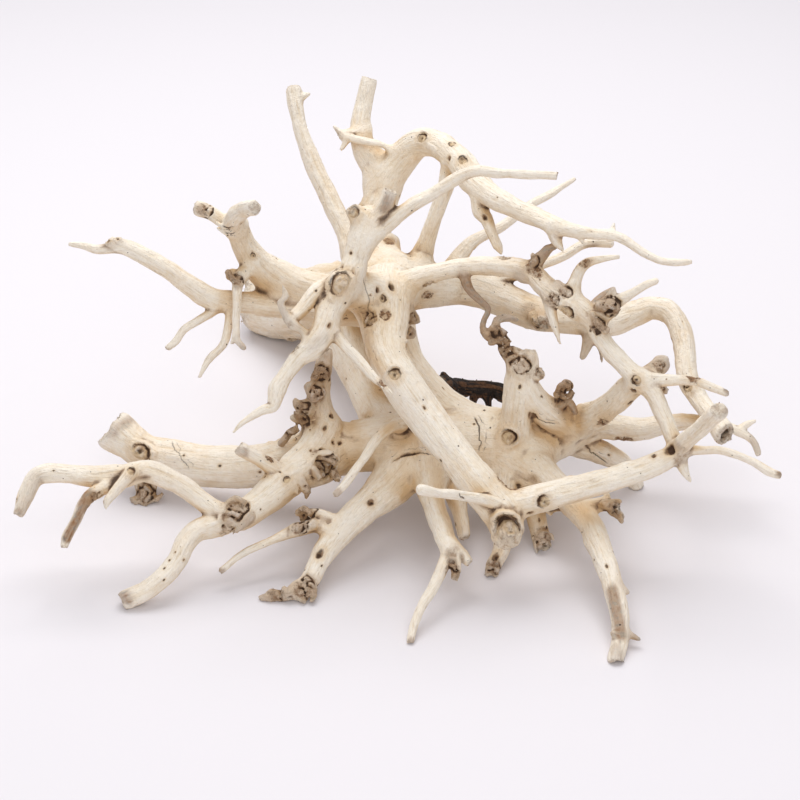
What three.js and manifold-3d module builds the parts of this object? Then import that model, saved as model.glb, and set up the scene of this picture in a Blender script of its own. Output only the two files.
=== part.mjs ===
// A driftwood root, bleached and worn, as one solid piece of wood.
// Millimetres, +Z up. It stands on the low points of its legs, which are worn flat at Z = 0.
// Every limb is a round, tapering stem along a route. The routes are read across, up and back,
// as the root is looked down on from in front, and turned here into places above the floor.

import * as THREE from 'three';
import { mergeVertices } from 'three/addons/utils/BufferGeometryUtils.js';
import Module from 'manifold-3d';

const wasm = await Module();
wasm.setup();

// Driving dimensions: the view that the routes are read in, and the middle of the root's box.
const EYE_DISTANCE = 1100;
const LOOK_DOWN = THREE.MathUtils.degToRad(30);
const MIDDLE_HEIGHT = 45;
const BOX_MIDDLE = { x: -0.6, y: 9.6 };

// A thick limb has more sides round it than a thin one. These are radii and counts of sides.
const THICK_LIMB = 9;
const MEDIUM_LIMB = 4.5;
const THICK_SIDES = 8;
const MEDIUM_SIDES = 6;
const THIN_SIDES = 4;

// The gap between the rings along a limb grows with its radius.
const RING_GAP_LEAST = 8.5;
const RING_GAP_PER_RADIUS = 1.15;
const CURVE_SAMPLES_PER_POINT = 12;

// Ends thicker than this radius are rounded by one more, smaller ring a little further out.
const ROUNDED_TIP = 2.8;
const TIP_ROUNDING = 0.62;
const TIP_REACH = 0.4;

// A swollen knot is a ball with few faces.
const KNOT_SIDES = 6;
const KNOT_ROWS = 4;

// A limb that climbs more steeply than this starts its rings from another direction.
const STEEP = 0.8;
const SAME_POINT = 1e-4;
const FLOOR_BLOCK = 900;
const WOOD_COLOUR = 0xe6dac2;

// Each row of a route is across, up, back and radius.
const routes = {
  trunk: [
    [-76, 51, 156, 13], [-67, 50, 154, 17], [-52, 49, 136, 17.5], [-38, 50, 112, 18],
    [-24, 52, 80, 18], [-14, 55, 45, 17.5], [-5, 57.5, 14, 16], [5, 57.5, 15, 13],
    [26.5, 57, 28, 9],
    [40, 55, 29, 8.8], [50, 51, 30, 9], [65, 44.5, 28, 9], [80, 41, 20, 7.6],
    [95, 40, 15, 7], [107, 39.5, 8, 6.8], [117.5, 43.5, 6, 6.1], [126, 46.5, 4, 5.6],
    [135, 44, 0, 5.8], [140.5, 35, -4, 5.8], [142.5, 22.5, -10, 5.8], [144, 11, -15, 6],
    [149.5, 0, -20, 5], [156, -9, -28, 4.8], [162, -17, -35, 5.9],
  ],
  rearRoot: [[-22, 48, 84, 12], [-13, 43, 107, 8], [-5, 37, 128, 6.2], [-1, 31, 148, 4.8]],
  rearRootStub: [[-8, 40, 120, 5], [2, 38, 130, 3.4]],
  topStump: [[-4, 62, 18, 9], [-6, 72, 26, 6.8], [-6, 78, 31, 6]],
  innerLimb: [[-27, 42, 62, 15], [-19, 17.5, 40, 12.5], [-10, -2.5, 15, 12], [0, -20, -18, 14]],
  backLimb: [
    [-7, 44, 2, 13], [0.5, 18.5, -2, 12], [18, -4, -8, 12], [32, -14, -14, 13],
    [47, -20, -20, 15],
  ],
  lowerMass: [
    [-142, -16, 7, 10.5], [-135, -21, 6, 9.6], [-127.5, -26, 5, 10], [-115, -30, 2, 11],
    [-100, -32.5, 0, 10], [-80, -33.5, -5, 10], [-60, -31, -10, 10.5], [-35, -25, -15, 13],
    [-22, -23.5, -18, 12.5], [-8, -22.5, -22, 14], [15, -21, -22, 15.5], [35, -22.5, -20, 16.5],
    [52, -23, -20, 17], [64, -25, -18, 14],
  ],
  massLobe: [[50, -28, -22, 14], [64, -38, -26, 10], [73, -40, -28, 8]],
  frontLimb: [
    [-5, 56, 8, 14], [-8, 54, -15, 14.5], [-8.5, 50, -35, 14], [-7.5, 35, -48, 12],
    [-6, 21, -60, 10], [12, -7, -65, 9], [28, -28, -70, 9], [41, -44, -74, 9.8],
    [51.5, -56, -76, 10.2], [53.5, -63, -79, 8.6],
  ],
  frontArm: [
    [49, -54, -75, 8], [74, -48.5, -75, 7], [100, -41, -75, 6.3], [127.5, -32, -75, 5.5],
    [139, -26, -75, 5.2],
  ],
  armStub: [[138, -26, -74, 5], [141, -22, -80, 4.6], [150, -14, -98, 4.4], [159, -6, -115, 4.6]],
  armTwig: [
    [138, -27, -75, 4], [146, -25, -77, 2.6], [152.5, -25, -78, 2.2], [159, -24.5, -79, 2.2],
    [166.5, -26.5, -80, 2.2], [175.5, -30.5, -82, 2.2], [185, -36, -84, 2.1],
    [190, -37.5, -85, 1.7],
  ],
  armThorn: [[139, -27, -75, 3.8], [143, -37.5, -76, 1.6], [145, -40.5, -76, 0.9]],
  longBranch: [
    [-5, 51, -30, 10], [6.5, 59.5, -36, 5.8], [20, 64.3, -38, 4.6], [33.5, 66.3, -40, 4.5],
    [47, 67, -45, 4.6], [60.3, 65.5, -50, 5.1], [67, 62.3, -53, 5.1], [73.5, 56.2, -56, 5.2],
    [80.5, 51.5, -60, 5.6], [90.5, 45.5, -63, 6], [97, 39, -65, 5.1], [102.3, 29.3, -67, 4.8],
    [110.8, 19, -69, 4.8], [116.5, 13, -70, 5], [120, 9.5, -70, 5.6],
  ],
  branchTwig: [
    [120, 10, -70, 4.5], [131.4, 9.5, -73, 3.1], [142.4, 10.2, -75, 2.5], [149.5, 9.5, -76, 2.3],
    [157, 6.5, -78, 2.3], [163, 3.5, -80, 2],
  ],
  branchDrop: [
    [120, 9.5, -70, 5], [124.5, 5.5, -71, 4.4], [129, -2, -72, 4.2], [133, -10, -73, 4.1],
    [136.5, -19, -74, 4.2], [139, -25, -75, 4.8],
  ],
  massToBranch: [
    [66, -19, -8, 11], [87.5, -12.5, -15, 8.4], [94, -9.3, -25, 7.5], [100, -7, -35, 7.1],
    [108, -1, -48, 6.5], [117, 8, -64, 5.8], [120, 9.5, -70, 5],
  ],
  lowerArm: [
    [60, -22, -14, 14], [74, -19, -8, 11.5], [87.5, -15, -5, 9], [100, -12.5, -3, 6.6],
    [120, -15, -5, 5.5], [137.5, -11, -8, 4.6], [147.5, -11, -10, 4], [160, -12.5, -12, 3.1],
    [167.5, -15, -13, 2.5], [176, -20, -14, 2], [179, -27.5, -15, 1.7],
  ],
  lowerArmFork: [[169, -15.5, -13, 2.2], [174, -12, -13, 1.8], [177.5, -10.5, -13, 1]],
  rearLeg: [
    [78, -18, -6, 9], [87.5, -21, 0, 6.6], [100, -26, 4, 6], [110.5, -32, 8, 4.6],
    [118, -42.5, 13, 3.6],
  ],
  tendril: [
    [32, 63, -40, 3], [34.8, 54.2, -41, 2.1], [40, 49.5, -42, 1.8], [44, 45.5, -42, 1.6],
    [42, 39.5, -43, 1.5], [41.5, 35.5, -43, 1.5], [43.5, 33, -44, 2.6], [48, 31.5, -44, 3.3],
    [52, 29.5, -44, 3], [51.5, 26, -44, 2.8], [55, 20.7, -45, 3.4], [59, 17, -45, 4.5],
  ],
  tendrilHook: [
    [48, 32, -44, 2.6], [48, 39, -43, 2], [51, 41.2, -38, 2], [55.5, 41, -31, 1.8],
    [58, 40.5, -25, 1.3],
  ],
  upperProng: [
    [87, 47, -62, 5], [86.5, 55, -62, 4.1], [87.7, 60.2, -62, 3.3], [89.8, 65.5, -62, 3],
    [93.8, 69, -62, 2.6], [100.5, 70.5, -62, 1.9], [108.5, 71.5, -62, 1.2],
  ],
  brownProng: [
    [62, 63, -51, 4.5], [71, 71, -54, 2.8], [75.5, 75.5, -56, 2.1], [79, 77.5, -57, 1.5],
  ],
  backTwig: [
    [42, 55, 28, 5], [55, 61.5, 28, 3], [69, 66.7, 29, 2.6], [83, 73, 30, 2.5],
    [91.9, 77.5, 30, 2.5], [105, 78.2, 30, 2.2],
  ],
  thorn: [[75, 52, -57, 4], [75.5, 46.2, -58, 2.9], [77.5, 38.2, -59, 2.2], [80.5, 28.8, -60, 0.7]],
  burlTwig: [
    [100, 42, -65, 5], [106, 48, -66, 3.6], [116.5, 53.5, -66, 2.3], [124, 58, -67, 2],
    [127.5, 59.5, -67, 1.8],
  ],
  burlTip: [[103, 46, -66, 4], [106.5, 55, -66, 1.6]],
  rearStub: [[94, 42, 14, 4], [101, 51.5, 16, 2.4], [106, 54.5, 16, 2]],
  jointStub: [[121, 10, -69, 4.5], [128, 16, -62, 4.4], [130.5, 18.2, -58, 4.6]],
  jointStubLow: [[122, 8.5, -69, 3.5], [132, 5, -60, 2.6]],
  hangingFork: [[96, 38, 14, 5], [94, 29, 14, 3], [91.5, 21.5, 14, 1.8]],
  hangingForkThin: [[95.5, 33, 14, 2.4], [100, 26, 14, 1.3], [101.5, 19.5, 14, 0.8]],
  trunkStub: [[69, 43, 24, 6], [71, 39, 12, 4.2]],
  crownKnobHigh: [[0, 44, -34, 6], [7.5, 40.8, -29, 3]],
  crownKnobLow: [[0, 35, -38, 5], [6, 33.3, -34, 2.6]],
  stump: [
    [54, -19, -26, 12], [57.5, -9.3, -36, 7.8], [58.5, 2, -40, 6.8], [60.5, 12.5, -43, 7.6],
    [63.3, 19.5, -45, 6.6], [63.5, 23, -45, 5],
  ],
  stumpShoulder: [[61, 10, -42, 7], [67, 0, -37, 7.2], [77, -8, -26, 8], [86, -13, -15, 8.2]],
  curledTwig: [
    [80, -6, -28, 4], [80, 0, -36, 2.6], [80.5, 3, -37, 2.3], [83, 7.5, -38, 2.8],
    [85, 7, -38, 2.2],
  ],
  curledFlap: [[80, -2, -33, 3], [85, -2, -36, 2.2], [87.5, -6.5, -35, 1.8]],
  decayed: [
    [17, 2, -5, 5], [22, 8.5, 5, 3.6], [29, 6.5, 18, 3.8], [37, 6, 26, 4.2], [46, 5, 28, 4.2],
    [55, 2, 22, 3.8], [64, -6, 10, 4.6], [72, -14, -2, 6],
  ],
  decayedSpur: [[23, 8, 6, 3], [21.5, 12.5, 8, 1.4]],
  decayedProngs: [[38, 4, 27, 3], [36, -3, 27, 1.2]],
  decayedProngRight: [[43, 4, 28, 3], [45, -3.5, 28, 1]],
  rightLeg: [
    [64, -33, -24, 11], [73, -39, -32, 8.4], [85.5, -52, -50, 6.7], [94, -61, -62, 6.5],
    [98.5, -71, -72, 6.5], [105, -86.5, -86, 5.8], [108.5, -99.5, -95, 5.4],
    [110.5, -112.5, -103, 4.5],
    [109.5, -124, -109, 4.5], [108.5, -131, -113.5, 4.4],
  ],
  legSpur: [[110, -114, -104, 3.4], [115, -117.5, -105, 2], [119, -120, -106, 1.2]],
  legStub: [[90, -56, -57, 5], [102.5, -52, -56, 3.2], [108, -54, -57, 3.6]],
  legStubUp: [[102, -52, -56, 2.8], [104, -47.5, -56, 1.5]],
  legStubDown: [[107, -54, -57, 3], [111, -58.5, -58, 1.3]],
  legBump: [[109, -94, -92, 3.6], [115, -96, -93, 1.3]],
  knotLeg: [
    [52, -34, -26, 9], [51.5, -60, -40, 5.2], [51, -73.5, -48, 4.2], [46.5, -82.5, -53, 3.8],
    [45, -87.5, -55, 3.2],
  ],
  shortLeg: [
    [65, -38, -26, 8], [68, -56, -33, 5.2], [70, -66, -35.5, 4.5], [71.5, -73.5, -37.5, 4.4],
  ],
  leftLeg: [
    [4, -29, -26, 13], [-1, -38, -34, 12.2], [-7.5, -45, -40, 11], [-17.5, -53.5, -48, 8.6],
    [-27.5, -63.5, -56, 7], [-35, -73, -61, 6], [-41, -82.5, -66, 5.1], [-46, -91, -70.5, 4.8],
    [-52, -95.5, -72.5, 4.2],
  ],
  leftLegProng: [[-50, -95, -72, 4], [-57.5, -98, -72.5, 3], [-69, -99.5, -72, 1.5]],
  leftLegToe: [[-47, -93, -71, 4], [-49.5, -100, -75, 2.2]],
  leftLegStub: [[-30, -64, -56, 6], [-40, -58.5, -55, 4.2], [-48, -58, -54, 3.6]],
  leftLegTwig: [
    [-33, -66, -58, 5], [-42, -63.5, -58, 3.4], [-55, -66.5, -60, 3], [-67.5, -72, -63, 2.3],
    [-80, -78, -66, 2], [-89.5, -85.5, -69, 1.8],
  ],
  centreLeg: [
    [14, -28, -30, 13], [16, -42, -43, 8], [16.5, -51.5, -52, 6.2], [20.5, -62.5, -62, 5.8],
    [25, -75, -75, 4.6],
  ],
  centreTongue: [[25, -74, -74, 4.2], [28, -83, -79, 2.9], [27, -89.5, -81, 2]],
  centreStub: [[25, -72, -73, 4], [31, -77.5, -75, 3], [34, -80.5, -76, 2.4]],
  centreTwig: [
    [25, -74, -74, 4.2], [21.5, -83, -80, 3.1], [16.5, -93.5, -86, 3], [10.5, -102, -92, 2.5],
    [7, -112.5, -97, 2.3], [6, -121, -102, 2],
  ],
  centreLegRear: [[25, -38, -28, 8], [29.5, -56.5, -38, 3.8], [32, -67.5, -42, 3.4]],
  foreTwig: [
    [40, -46, -75, 5], [36, -48, -87, 3], [29, -47.5, -93, 2.6], [20, -47, -101, 2.5],
    [10.5, -44.8, -110, 2.8],
  ],
  sideTwig: [
    [2, -13, -32, 5], [-4.5, -14, -46, 2.9], [-12, -20.5, -55, 2.8], [-18.5, -30.3, -62, 2.3],
    [-25.5, -40, -67, 2.2], [-32, -47, -70, 1.9],
  ],
  leftArm: [
    [-33, -27, -22, 12], [-41, -33, -33, 10.5], [-50, -36, -42, 9.5], [-61, -43.5, -50, 9],
    [-70, -51, -56, 7.6], [-80, -57.5, -62, 7],
  ],
  leftArmFar: [
    [-78, -56.5, -61, 7], [-89.5, -56, -64, 5.4], [-101, -48.5, -65, 5.3], [-112.5, -41, -66, 5.1],
    [-126.5, -35.5, -66, 5.9], [-137, -37, -68, 5.6], [-151, -38.5, -70, 5.3],
    [-165, -37, -70, 4.6],
    [-177, -36.5, -70, 4.9], [-182.5, -38.8, -71, 4.6], [-186.5, -47, -74, 4],
    [-190, -57.5, -78, 3],
  ],
  leftArmFoot: [
    [-80, -57, -62, 7], [-93, -62.5, -65, 5.9], [-101.5, -65.5, -67.5, 5.4],
    [-107.5, -72, -70, 5.3],
    [-111.5, -80, -73, 5.2], [-118, -88, -76, 5.2], [-127, -95, -77.5, 5.1],
    [-136, -99.5, -77.5, 5.1],
  ],
  strippedTwig: [
    [-134, -37, -68, 5], [-142, -41, -71, 3.8], [-151, -46, -75, 3.4], [-156.5, -49.5, -77, 3.1],
    [-162, -59.5, -81, 2.8], [-167, -68.5, -84, 2.7], [-168.5, -73, -86, 1.9],
  ],
  dropTwig: [
    [-131, -35, -69, 4], [-134.5, -36.5, -73, 3.1], [-140.5, -44, -76, 3], [-146, -51, -79, 2.2],
    [-146.5, -54.5, -80, 0.8],
  ],
  leftArmStub: [
    [-56, -42, -47, 6], [-62.5, -34.5, -52, 4.3], [-71, -29.5, -56, 3.8], [-80, -24.5, -60, 3.6],
  ],
  leftStump: [
    [-38, -22, -18, 12], [-39.5, -10, -24, 8.4], [-40.5, 0, -28, 6.4], [-39, 12.5, -32, 5.1],
    [-37.5, 24, -35, 3.9],
  ],
  stumpSpurHigh: [[-42, -3, -27, 4.5], [-51.5, -3.5, -28, 1.8]],
  stumpSpurLow: [[-42, -10, -24, 5], [-52.5, -9.5, -26, 2]],
  stumpToArm: [[-38, -12, -24, 8], [-43, -24, -33, 8.5], [-52, -33, -42, 8]],
  upperLeft: [
    [-12, 52, -6, 13], [-30, 52, -17, 11.5], [-48, 54.5, -25, 10.5], [-61.5, 60, -33, 9.8],
    [-71.5, 67, -40, 8], [-77, 75, -47, 6.6], [-80.3, 82, -54, 6], [-83, 87.3, -60, 6],
  ],
  upperLeftEnd: [
    [-82, 86, -59, 5.6], [-89.5, 90, -59, 3.6], [-95, 94, -57, 3.8], [-100, 95.5, -55, 4.1],
  ],
  upperLeftThumb: [
    [-82.5, 86.5, -60, 5.8], [-83, 91, -75, 5], [-78.2, 95, -92, 4.3], [-73.5, 96, -105, 3.8],
  ],
  hangingTwig: [
    [-76, 66, -45, 4.2], [-80.5, 60, -51, 2.8], [-81.5, 52, -56, 2.4], [-81.5, 46.5, -57.5, 2.4],
    [-82, 39, -58, 2.3], [-81.5, 30, -58, 1.9],
  ],
  hangingTwigFork: [[-81.8, 35, -57.5, 1.9], [-84.5, 29, -58, 1]],
  hangingTwigLong: [
    [-84, 49, -46, 3.4], [-85, 44, -50, 2.3], [-86.5, 33.5, -53, 2.2], [-90, 26.5, -54, 2.1],
    [-96, 20.5, -56, 1.9], [-100.5, 11.5, -58, 1],
  ],
  leftLimb: [
    [-10, 48, -14, 12], [-25, 46, -22, 9], [-40, 46, -27, 7.2], [-59.5, 46.5, -32, 6.1],
    [-79, 49, -42, 5.7], [-94, 50.3, -50, 5.4], [-104.5, 56.5, -53, 5], [-117, 65.5, -55, 4.5],
    [-128.5, 72, -57, 4], [-140, 77, -58, 3.8], [-145, 76, -58.5, 3], [-151.5, 75, -59, 2.5],
    [-158, 76.5, -59.5, 1.9], [-165, 77.5, -60, 1.2],
  ],
  leftLimbNub: [[-140.5, 76.5, -58, 3], [-144, 80.5, -58, 1.5]],
  leftLimbTwig: [
    [-90, 49, -48, 4], [-94, 44.5, -50, 2.6], [-100.5, 40, -52, 2.2], [-108, 35, -54, 2],
    [-112, 30, -55, 2], [-116.5, 26, -56, 1.6],
  ],
  frontLink: [[-7, 50, -30, 13], [-18, 53, -48, 10.5], [-27, 56, -63, 8.5]],
  frontUpright: [
    [-17, 90, -62, 6.8], [-18.5, 82, -62, 7.6], [-21.5, 71, -62, 6.2], [-24.5, 62, -64, 7],
    [-29.5, 55, -66, 8], [-34.5, 46, -68, 7], [-38, 35, -70, 7], [-43.2, 27.2, -71, 6.4],
    [-51.3, 20.5, -72, 4.6], [-58, 11, -74, 4], [-61.3, 5.7, -75, 4.9], [-63.3, -3, -77, 3],
    [-68, -4.5, -78, 2.4], [-74, -8, -79, 1.8], [-79.5, -12, -80, 1.3], [-83.2, -16.5, -81, 0.8],
  ],
  uprightKnob: [[-18, 88, -62, 6], [-23.5, 94.3, -66, 3.9]],
  uprightStub: [
    [-16, 86, -62, 6.5], [-12, 91.5, -63, 5], [-6.3, 100, -66, 4.2], [-5, 103.5, -67, 4],
  ],
  uprightTwig: [
    [-18, 80, -62, 6.5], [-8, 86.5, -63, 4.3], [2, 94.8, -65, 3.8], [15, 102.5, -67, 3.5],
    [27.5, 110, -69, 3.3], [37.8, 114, -71, 3], [53, 113.3, -73, 2.4], [66, 112.5, -74, 2.3],
    [78.5, 112, -75, 2.1],
  ],
  crossTwig: [
    [-37, 39, -69, 5], [-32, 32, -71, 3.3], [-27.2, 26.5, -72, 3], [-20, 19, -74, 2.7],
    [-13, 11, -79, 2.2], [-3.7, 2.5, -84, 0.9],
  ],
  uprightSide: [
    [-30, 56, -66, 6], [-38.5, 56, -67, 4.2], [-45.3, 50, -69, 3.8], [-51.3, 43.2, -70, 3.5],
    [-55, 39.5, -72, 3],
  ],
  knobbyTwig: [
    [-58.5, 56.5, -74, 0.9], [-57.5, 51.2, -74, 1.8], [-60, 48.5, -74, 1.8], [-58, 43.2, -74, 2.1],
    [-54.5, 38, -73, 2.5], [-48.5, 34, -72, 2.1], [-46.5, 28.5, -72, 2.2], [-44, 25, -71, 3],
  ],
  leftProng: [
    [-12, 58, 8, 10], [-22.5, 69, 10, 5.8], [-27, 84, 13, 5], [-34.7, 100, 16, 4.6],
    [-41.5, 114.7, 19, 4.3], [-47.6, 130, 21, 3.5], [-50.5, 140, 23, 3.4], [-52.5, 148.5, 24, 4.1],
    [-53, 154, 25, 4],
  ],
  leftProngSpur: [[-52, 150.5, 24, 3], [-45.5, 153.3, 25, 1]],
  rightProng: [
    [-6, 60, 16, 14], [-14, 74, 30, 10], [-14, 86, 38, 9.2], [-11, 96, 40, 9], [-8, 106, 41, 8.8],
    [-11, 116, 42, 8], [-18, 127.5, 43, 6], [-19.5, 137.5, 44, 4.9], [-18, 148, 45, 4],
    [-15.5, 160, 45, 3.9],
  ],
  prongSide: [[-18, 134, 43, 4.6], [-24, 133, 40, 3.5], [-29, 132.5, 38, 2.3]],
  prongTwig: [
    [-28, 132, 37.5, 2.4], [-21, 130, 34, 2], [-10.7, 128, 31, 1.6], [-2.5, 124, 31, 0.9],
  ],
  prongForkUp: [[-28.5, 132.5, 38, 2], [-32.5, 136.5, 37, 0.9]],
  prongForkDown: [[-25, 131.5, 38, 2.2], [-29.5, 125, 36, 1]],
  arch: [
    [-9, 108, 41, 9], [0, 120, 36, 8.1], [7, 126.5, 30, 7.3], [13.5, 128.7, 22, 7],
    [20, 127, 14, 6.8], [26, 123, 4, 7], [31, 118, -5, 7.2], [36, 110, -15, 6.8],
    [44, 103.5, -26, 6], [55.5, 96.7, -42, 4.8], [71, 90, -54, 4.9], [83, 85.5, -65, 4.2],
    [95.5, 83.2, -70, 2.8], [108.5, 80.7, -75, 2.5], [121, 74.5, -79, 2.3], [130, 70, -82, 2],
    [137.8, 69.2, -84, 2], [144.8, 69.5, -85, 1.5],
  ],
  archSpur: [[105, 81, -73, 2.5], [106.5, 87, -71, 0.9]],
  archProng: [
    [40, 104, -21, 5], [41, 94, -24, 4.2], [43.5, 90.7, -26, 3.6], [46, 83.8, -29, 2.8],
    [48.5, 77.5, -31, 2.6], [50.3, 73.5, -32, 0.9],
  ],
  archThorn: [[77, 87, -60, 4.4], [78.7, 79, -61, 2.5], [81.5, 74.5, -62, 0.7]],
  archThornSmall: [[88, 84.5, -67, 3], [89.3, 81.5, -67, 1.6], [92, 77, -68, 0.6]],
  archPillar: [
    [28, 120, 2, 6], [24.5, 115, 3, 4.4], [21.5, 102.5, 8, 3.9], [17.8, 92, 12, 3.9],
    [13.9, 81, 17, 4.1], [11, 72.5, 20, 5.4], [8, 62, 18, 9],
  ],
  rearTwig: [
    [24, 60, 26, 7], [28.8, 70.5, 30, 4.5], [35, 78.2, 34, 3.8], [43, 83.2, 39, 2.8],
    [53, 88.5, 44, 2.5], [65.8, 98, 50, 2.3], [76, 103.7, 55, 2], [87, 110, 60, 1.2],
  ],
  footLump: [[-127, -30, 4, 7], [-127, -42, 3, 5.4], [-126, -49.5, 2, 4.6]],
};

// Swollen knots and burls, as across, up, back and radius.
const knots = {
  bigKnot: [53.5, -65, -82, 8],
  ringKnot: [-30, 58.5, -71, 6],
  stumpBurl: [-41, 5, -33, 4.8],
  branchBurl: [103.5, 46, -67, 5],
  endKnot: [-130, -26, -3, 4.8],
  twigKnot: [-83.5, 62, -46, 3.4],
  elbowKnot: [-83, -58, -66, 5.6],
};

const sinDown = Math.sin(LOOK_DOWN);
const cosDown = Math.cos(LOOK_DOWN);

// Where a route's point is above the floor, and how thick the limb is there.
function place([across, up, back, radius]) {
  const nearness = 1 + back / EYE_DISTANCE;
  const x = across * nearness - BOX_MIDDLE.x;
  const y = up * nearness * sinDown + back * cosDown - BOX_MIDDLE.y;
  const z = up * nearness * cosDown - back * sinDown + MIDDLE_HEIGHT;
  return { point: new THREE.Vector3(x, y, z), radius: radius * nearness };
}

function sidesFor(radius) {
  if (radius > THICK_LIMB) return THICK_SIDES;
  if (radius > MEDIUM_LIMB) return MEDIUM_SIDES;
  return THIN_SIDES;
}

// The rings along a limb: centre, radius and two directions across it, carried without twist.
function ringsAlong(stations) {
  const curve = new THREE.CatmullRomCurve3(stations.map((s) => s.point), false, 'centripetal');
  curve.arcLengthDivisions = stations.length * CURVE_SAMPLES_PER_POINT;
  const last = stations.length - 1;
  const middle = stations[Math.floor(stations.length / 2)].radius;
  const gap = RING_GAP_LEAST + middle * RING_GAP_PER_RADIUS;
  const count = Math.max(2, Math.round(curve.getLength() / gap));
  const rings = [];
  for (let k = 0; k <= count; k += 1) {
    const t = curve.getUtoTmapping(k / count);
    const i = Math.min(last - 1, Math.floor(t * last));
    const radius = THREE.MathUtils.lerp(stations[i].radius, stations[i + 1].radius, t * last - i);
    rings.push({ centre: curve.getPoint(t), along: curve.getTangent(t), radius });
  }
  const first = rings[0];
  const end = rings[count];
  if (end.radius > ROUNDED_TIP) rings.push(roundedEnd(end));
  let side = new THREE.Vector3(0, 0, 1);
  if (Math.abs(first.along.z) > STEEP) side.set(0, 1, 0);
  for (const ring of rings) {
    side = side.clone().addScaledVector(ring.along, -side.dot(ring.along)).normalize();
    ring.side = side;
    ring.across = new THREE.Vector3().crossVectors(ring.along, side);
  }
  return rings;
}

function roundedEnd(ring) {
  const centre = ring.centre.clone().addScaledVector(ring.along, ring.radius * TIP_REACH);
  return { centre, along: ring.along, radius: ring.radius * TIP_ROUNDING };
}

// A closed stem: a cylinder whose rows of points are moved onto the rings.
function limb(route) {
  const stations = route.map(place);
  const thickest = Math.max(...route.map((row) => row[3]));
  const rings = ringsAlong(stations);
  const rows = rings.length - 1;
  const sides = sidesFor(thickest);
  const fullness = Math.sqrt((2 * Math.PI / sides) / Math.sin(2 * Math.PI / sides));
  const stem = new THREE.CylinderGeometry(fullness, fullness, 1, sides, rows);
  const position = stem.attributes.position;
  for (let i = 0; i < position.count; i += 1) {
    const ring = rings[Math.round((position.getY(i) + 0.5) * rows)];
    const point = ring.centre.clone()
      .addScaledVector(ring.side, position.getZ(i) * ring.radius)
      .addScaledVector(ring.across, position.getX(i) * ring.radius);
    position.setXYZ(i, point.x, point.y, point.z);
  }
  return solid(stem);
}

function knot(row) {
  const { point, radius } = place(row);
  const ball = new THREE.SphereGeometry(radius, KNOT_SIDES, KNOT_ROWS);
  ball.translate(point.x, point.y, point.z);
  return solid(ball);
}

// A closed geometry as a solid that can be joined and cut.
function solid(geometry) {
  geometry.deleteAttribute('normal');
  geometry.deleteAttribute('uv');
  const merged = mergeVertices(geometry, SAME_POINT);
  return new wasm.Manifold(new wasm.Mesh({
    numProp: 3,
    vertProperties: new Float32Array(merged.attributes.position.array),
    triVerts: new Uint32Array(merged.index.array),
  }));
}

function meshFrom(manifold) {
  const { vertProperties, triVerts } = manifold.getMesh();
  const geometry = new THREE.BufferGeometry();
  geometry.setAttribute('position', new THREE.BufferAttribute(new Float32Array(vertProperties), 3));
  geometry.setIndex(new THREE.BufferAttribute(new Uint32Array(triVerts), 1));
  return geometry;
}

// All the wood above the floor, joined in one body.
function rootSolid() {
  let wood = limb(routes.trunk);
  for (const [name, route] of Object.entries(routes)) {
    if (name !== 'trunk') wood = wood.add(limb(route));
  }
  for (const row of Object.values(knots)) wood = wood.add(knot(row));
  const ground = new THREE.BoxGeometry(FLOOR_BLOCK, FLOOR_BLOCK, FLOOR_BLOCK);
  ground.translate(0, 0, -FLOOR_BLOCK / 2);
  return wood.subtract(solid(ground));
}

const bleachedWood = new THREE.MeshStandardMaterial({
  color: WOOD_COLOUR,
  roughness: 0.85,
  metalness: 0,
});

const driftwood = new THREE.Mesh(meshFrom(rootSolid()), bleachedWood);
driftwood.name = 'driftwood_root';

const root = new THREE.Group();
root.add(driftwood);

export default root;
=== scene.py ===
# %% [markdown]
# # A bleached driftwood root
# The whole object is one piece of wood that grew as one body: a trunk, a crown and many
# legs, branches and twigs. It moves nowhere, so everything here rides on the body "root".
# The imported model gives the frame, the size and the place of every limb.

import math

import bpy
import numpy as np
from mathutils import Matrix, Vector
from mathutils.bvhtree import BVHTree


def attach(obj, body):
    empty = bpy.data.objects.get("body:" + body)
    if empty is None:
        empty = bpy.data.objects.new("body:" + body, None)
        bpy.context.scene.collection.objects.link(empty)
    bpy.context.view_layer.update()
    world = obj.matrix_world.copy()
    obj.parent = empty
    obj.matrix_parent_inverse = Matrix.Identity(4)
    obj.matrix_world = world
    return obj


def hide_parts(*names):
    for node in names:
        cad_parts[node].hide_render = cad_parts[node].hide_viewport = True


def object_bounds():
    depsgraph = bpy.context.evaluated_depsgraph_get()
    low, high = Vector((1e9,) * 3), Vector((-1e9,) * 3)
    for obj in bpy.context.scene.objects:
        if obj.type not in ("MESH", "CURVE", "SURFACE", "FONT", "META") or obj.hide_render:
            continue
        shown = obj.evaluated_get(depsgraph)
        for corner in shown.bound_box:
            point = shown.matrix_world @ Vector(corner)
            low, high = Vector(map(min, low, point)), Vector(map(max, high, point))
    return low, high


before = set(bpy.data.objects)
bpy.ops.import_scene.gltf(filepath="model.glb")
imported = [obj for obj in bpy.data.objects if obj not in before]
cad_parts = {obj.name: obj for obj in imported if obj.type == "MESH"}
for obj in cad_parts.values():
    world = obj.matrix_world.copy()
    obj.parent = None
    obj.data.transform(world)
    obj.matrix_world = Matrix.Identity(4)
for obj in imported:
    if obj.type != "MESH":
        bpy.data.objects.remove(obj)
cad_low, cad_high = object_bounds()
print("the packed root spans, in mm:", [round(1000 * v) for v in cad_high - cad_low])

# %% [markdown]
# ## The camera
# The root is seen from in front and a little above. The camera stands 1.1 m away and looks
# down by 30 degrees, and everything is later placed from the same eye, so it comes first.

# %% Set up the camera
MM = 0.001
EYE_DISTANCE = 1100
LOOK_DOWN = math.radians(30)
MIDDLE_HEIGHT = 45
BOX_MIDDLE = np.array([-0.6, 9.6])
LENS = 99
SENSOR = 36

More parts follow.
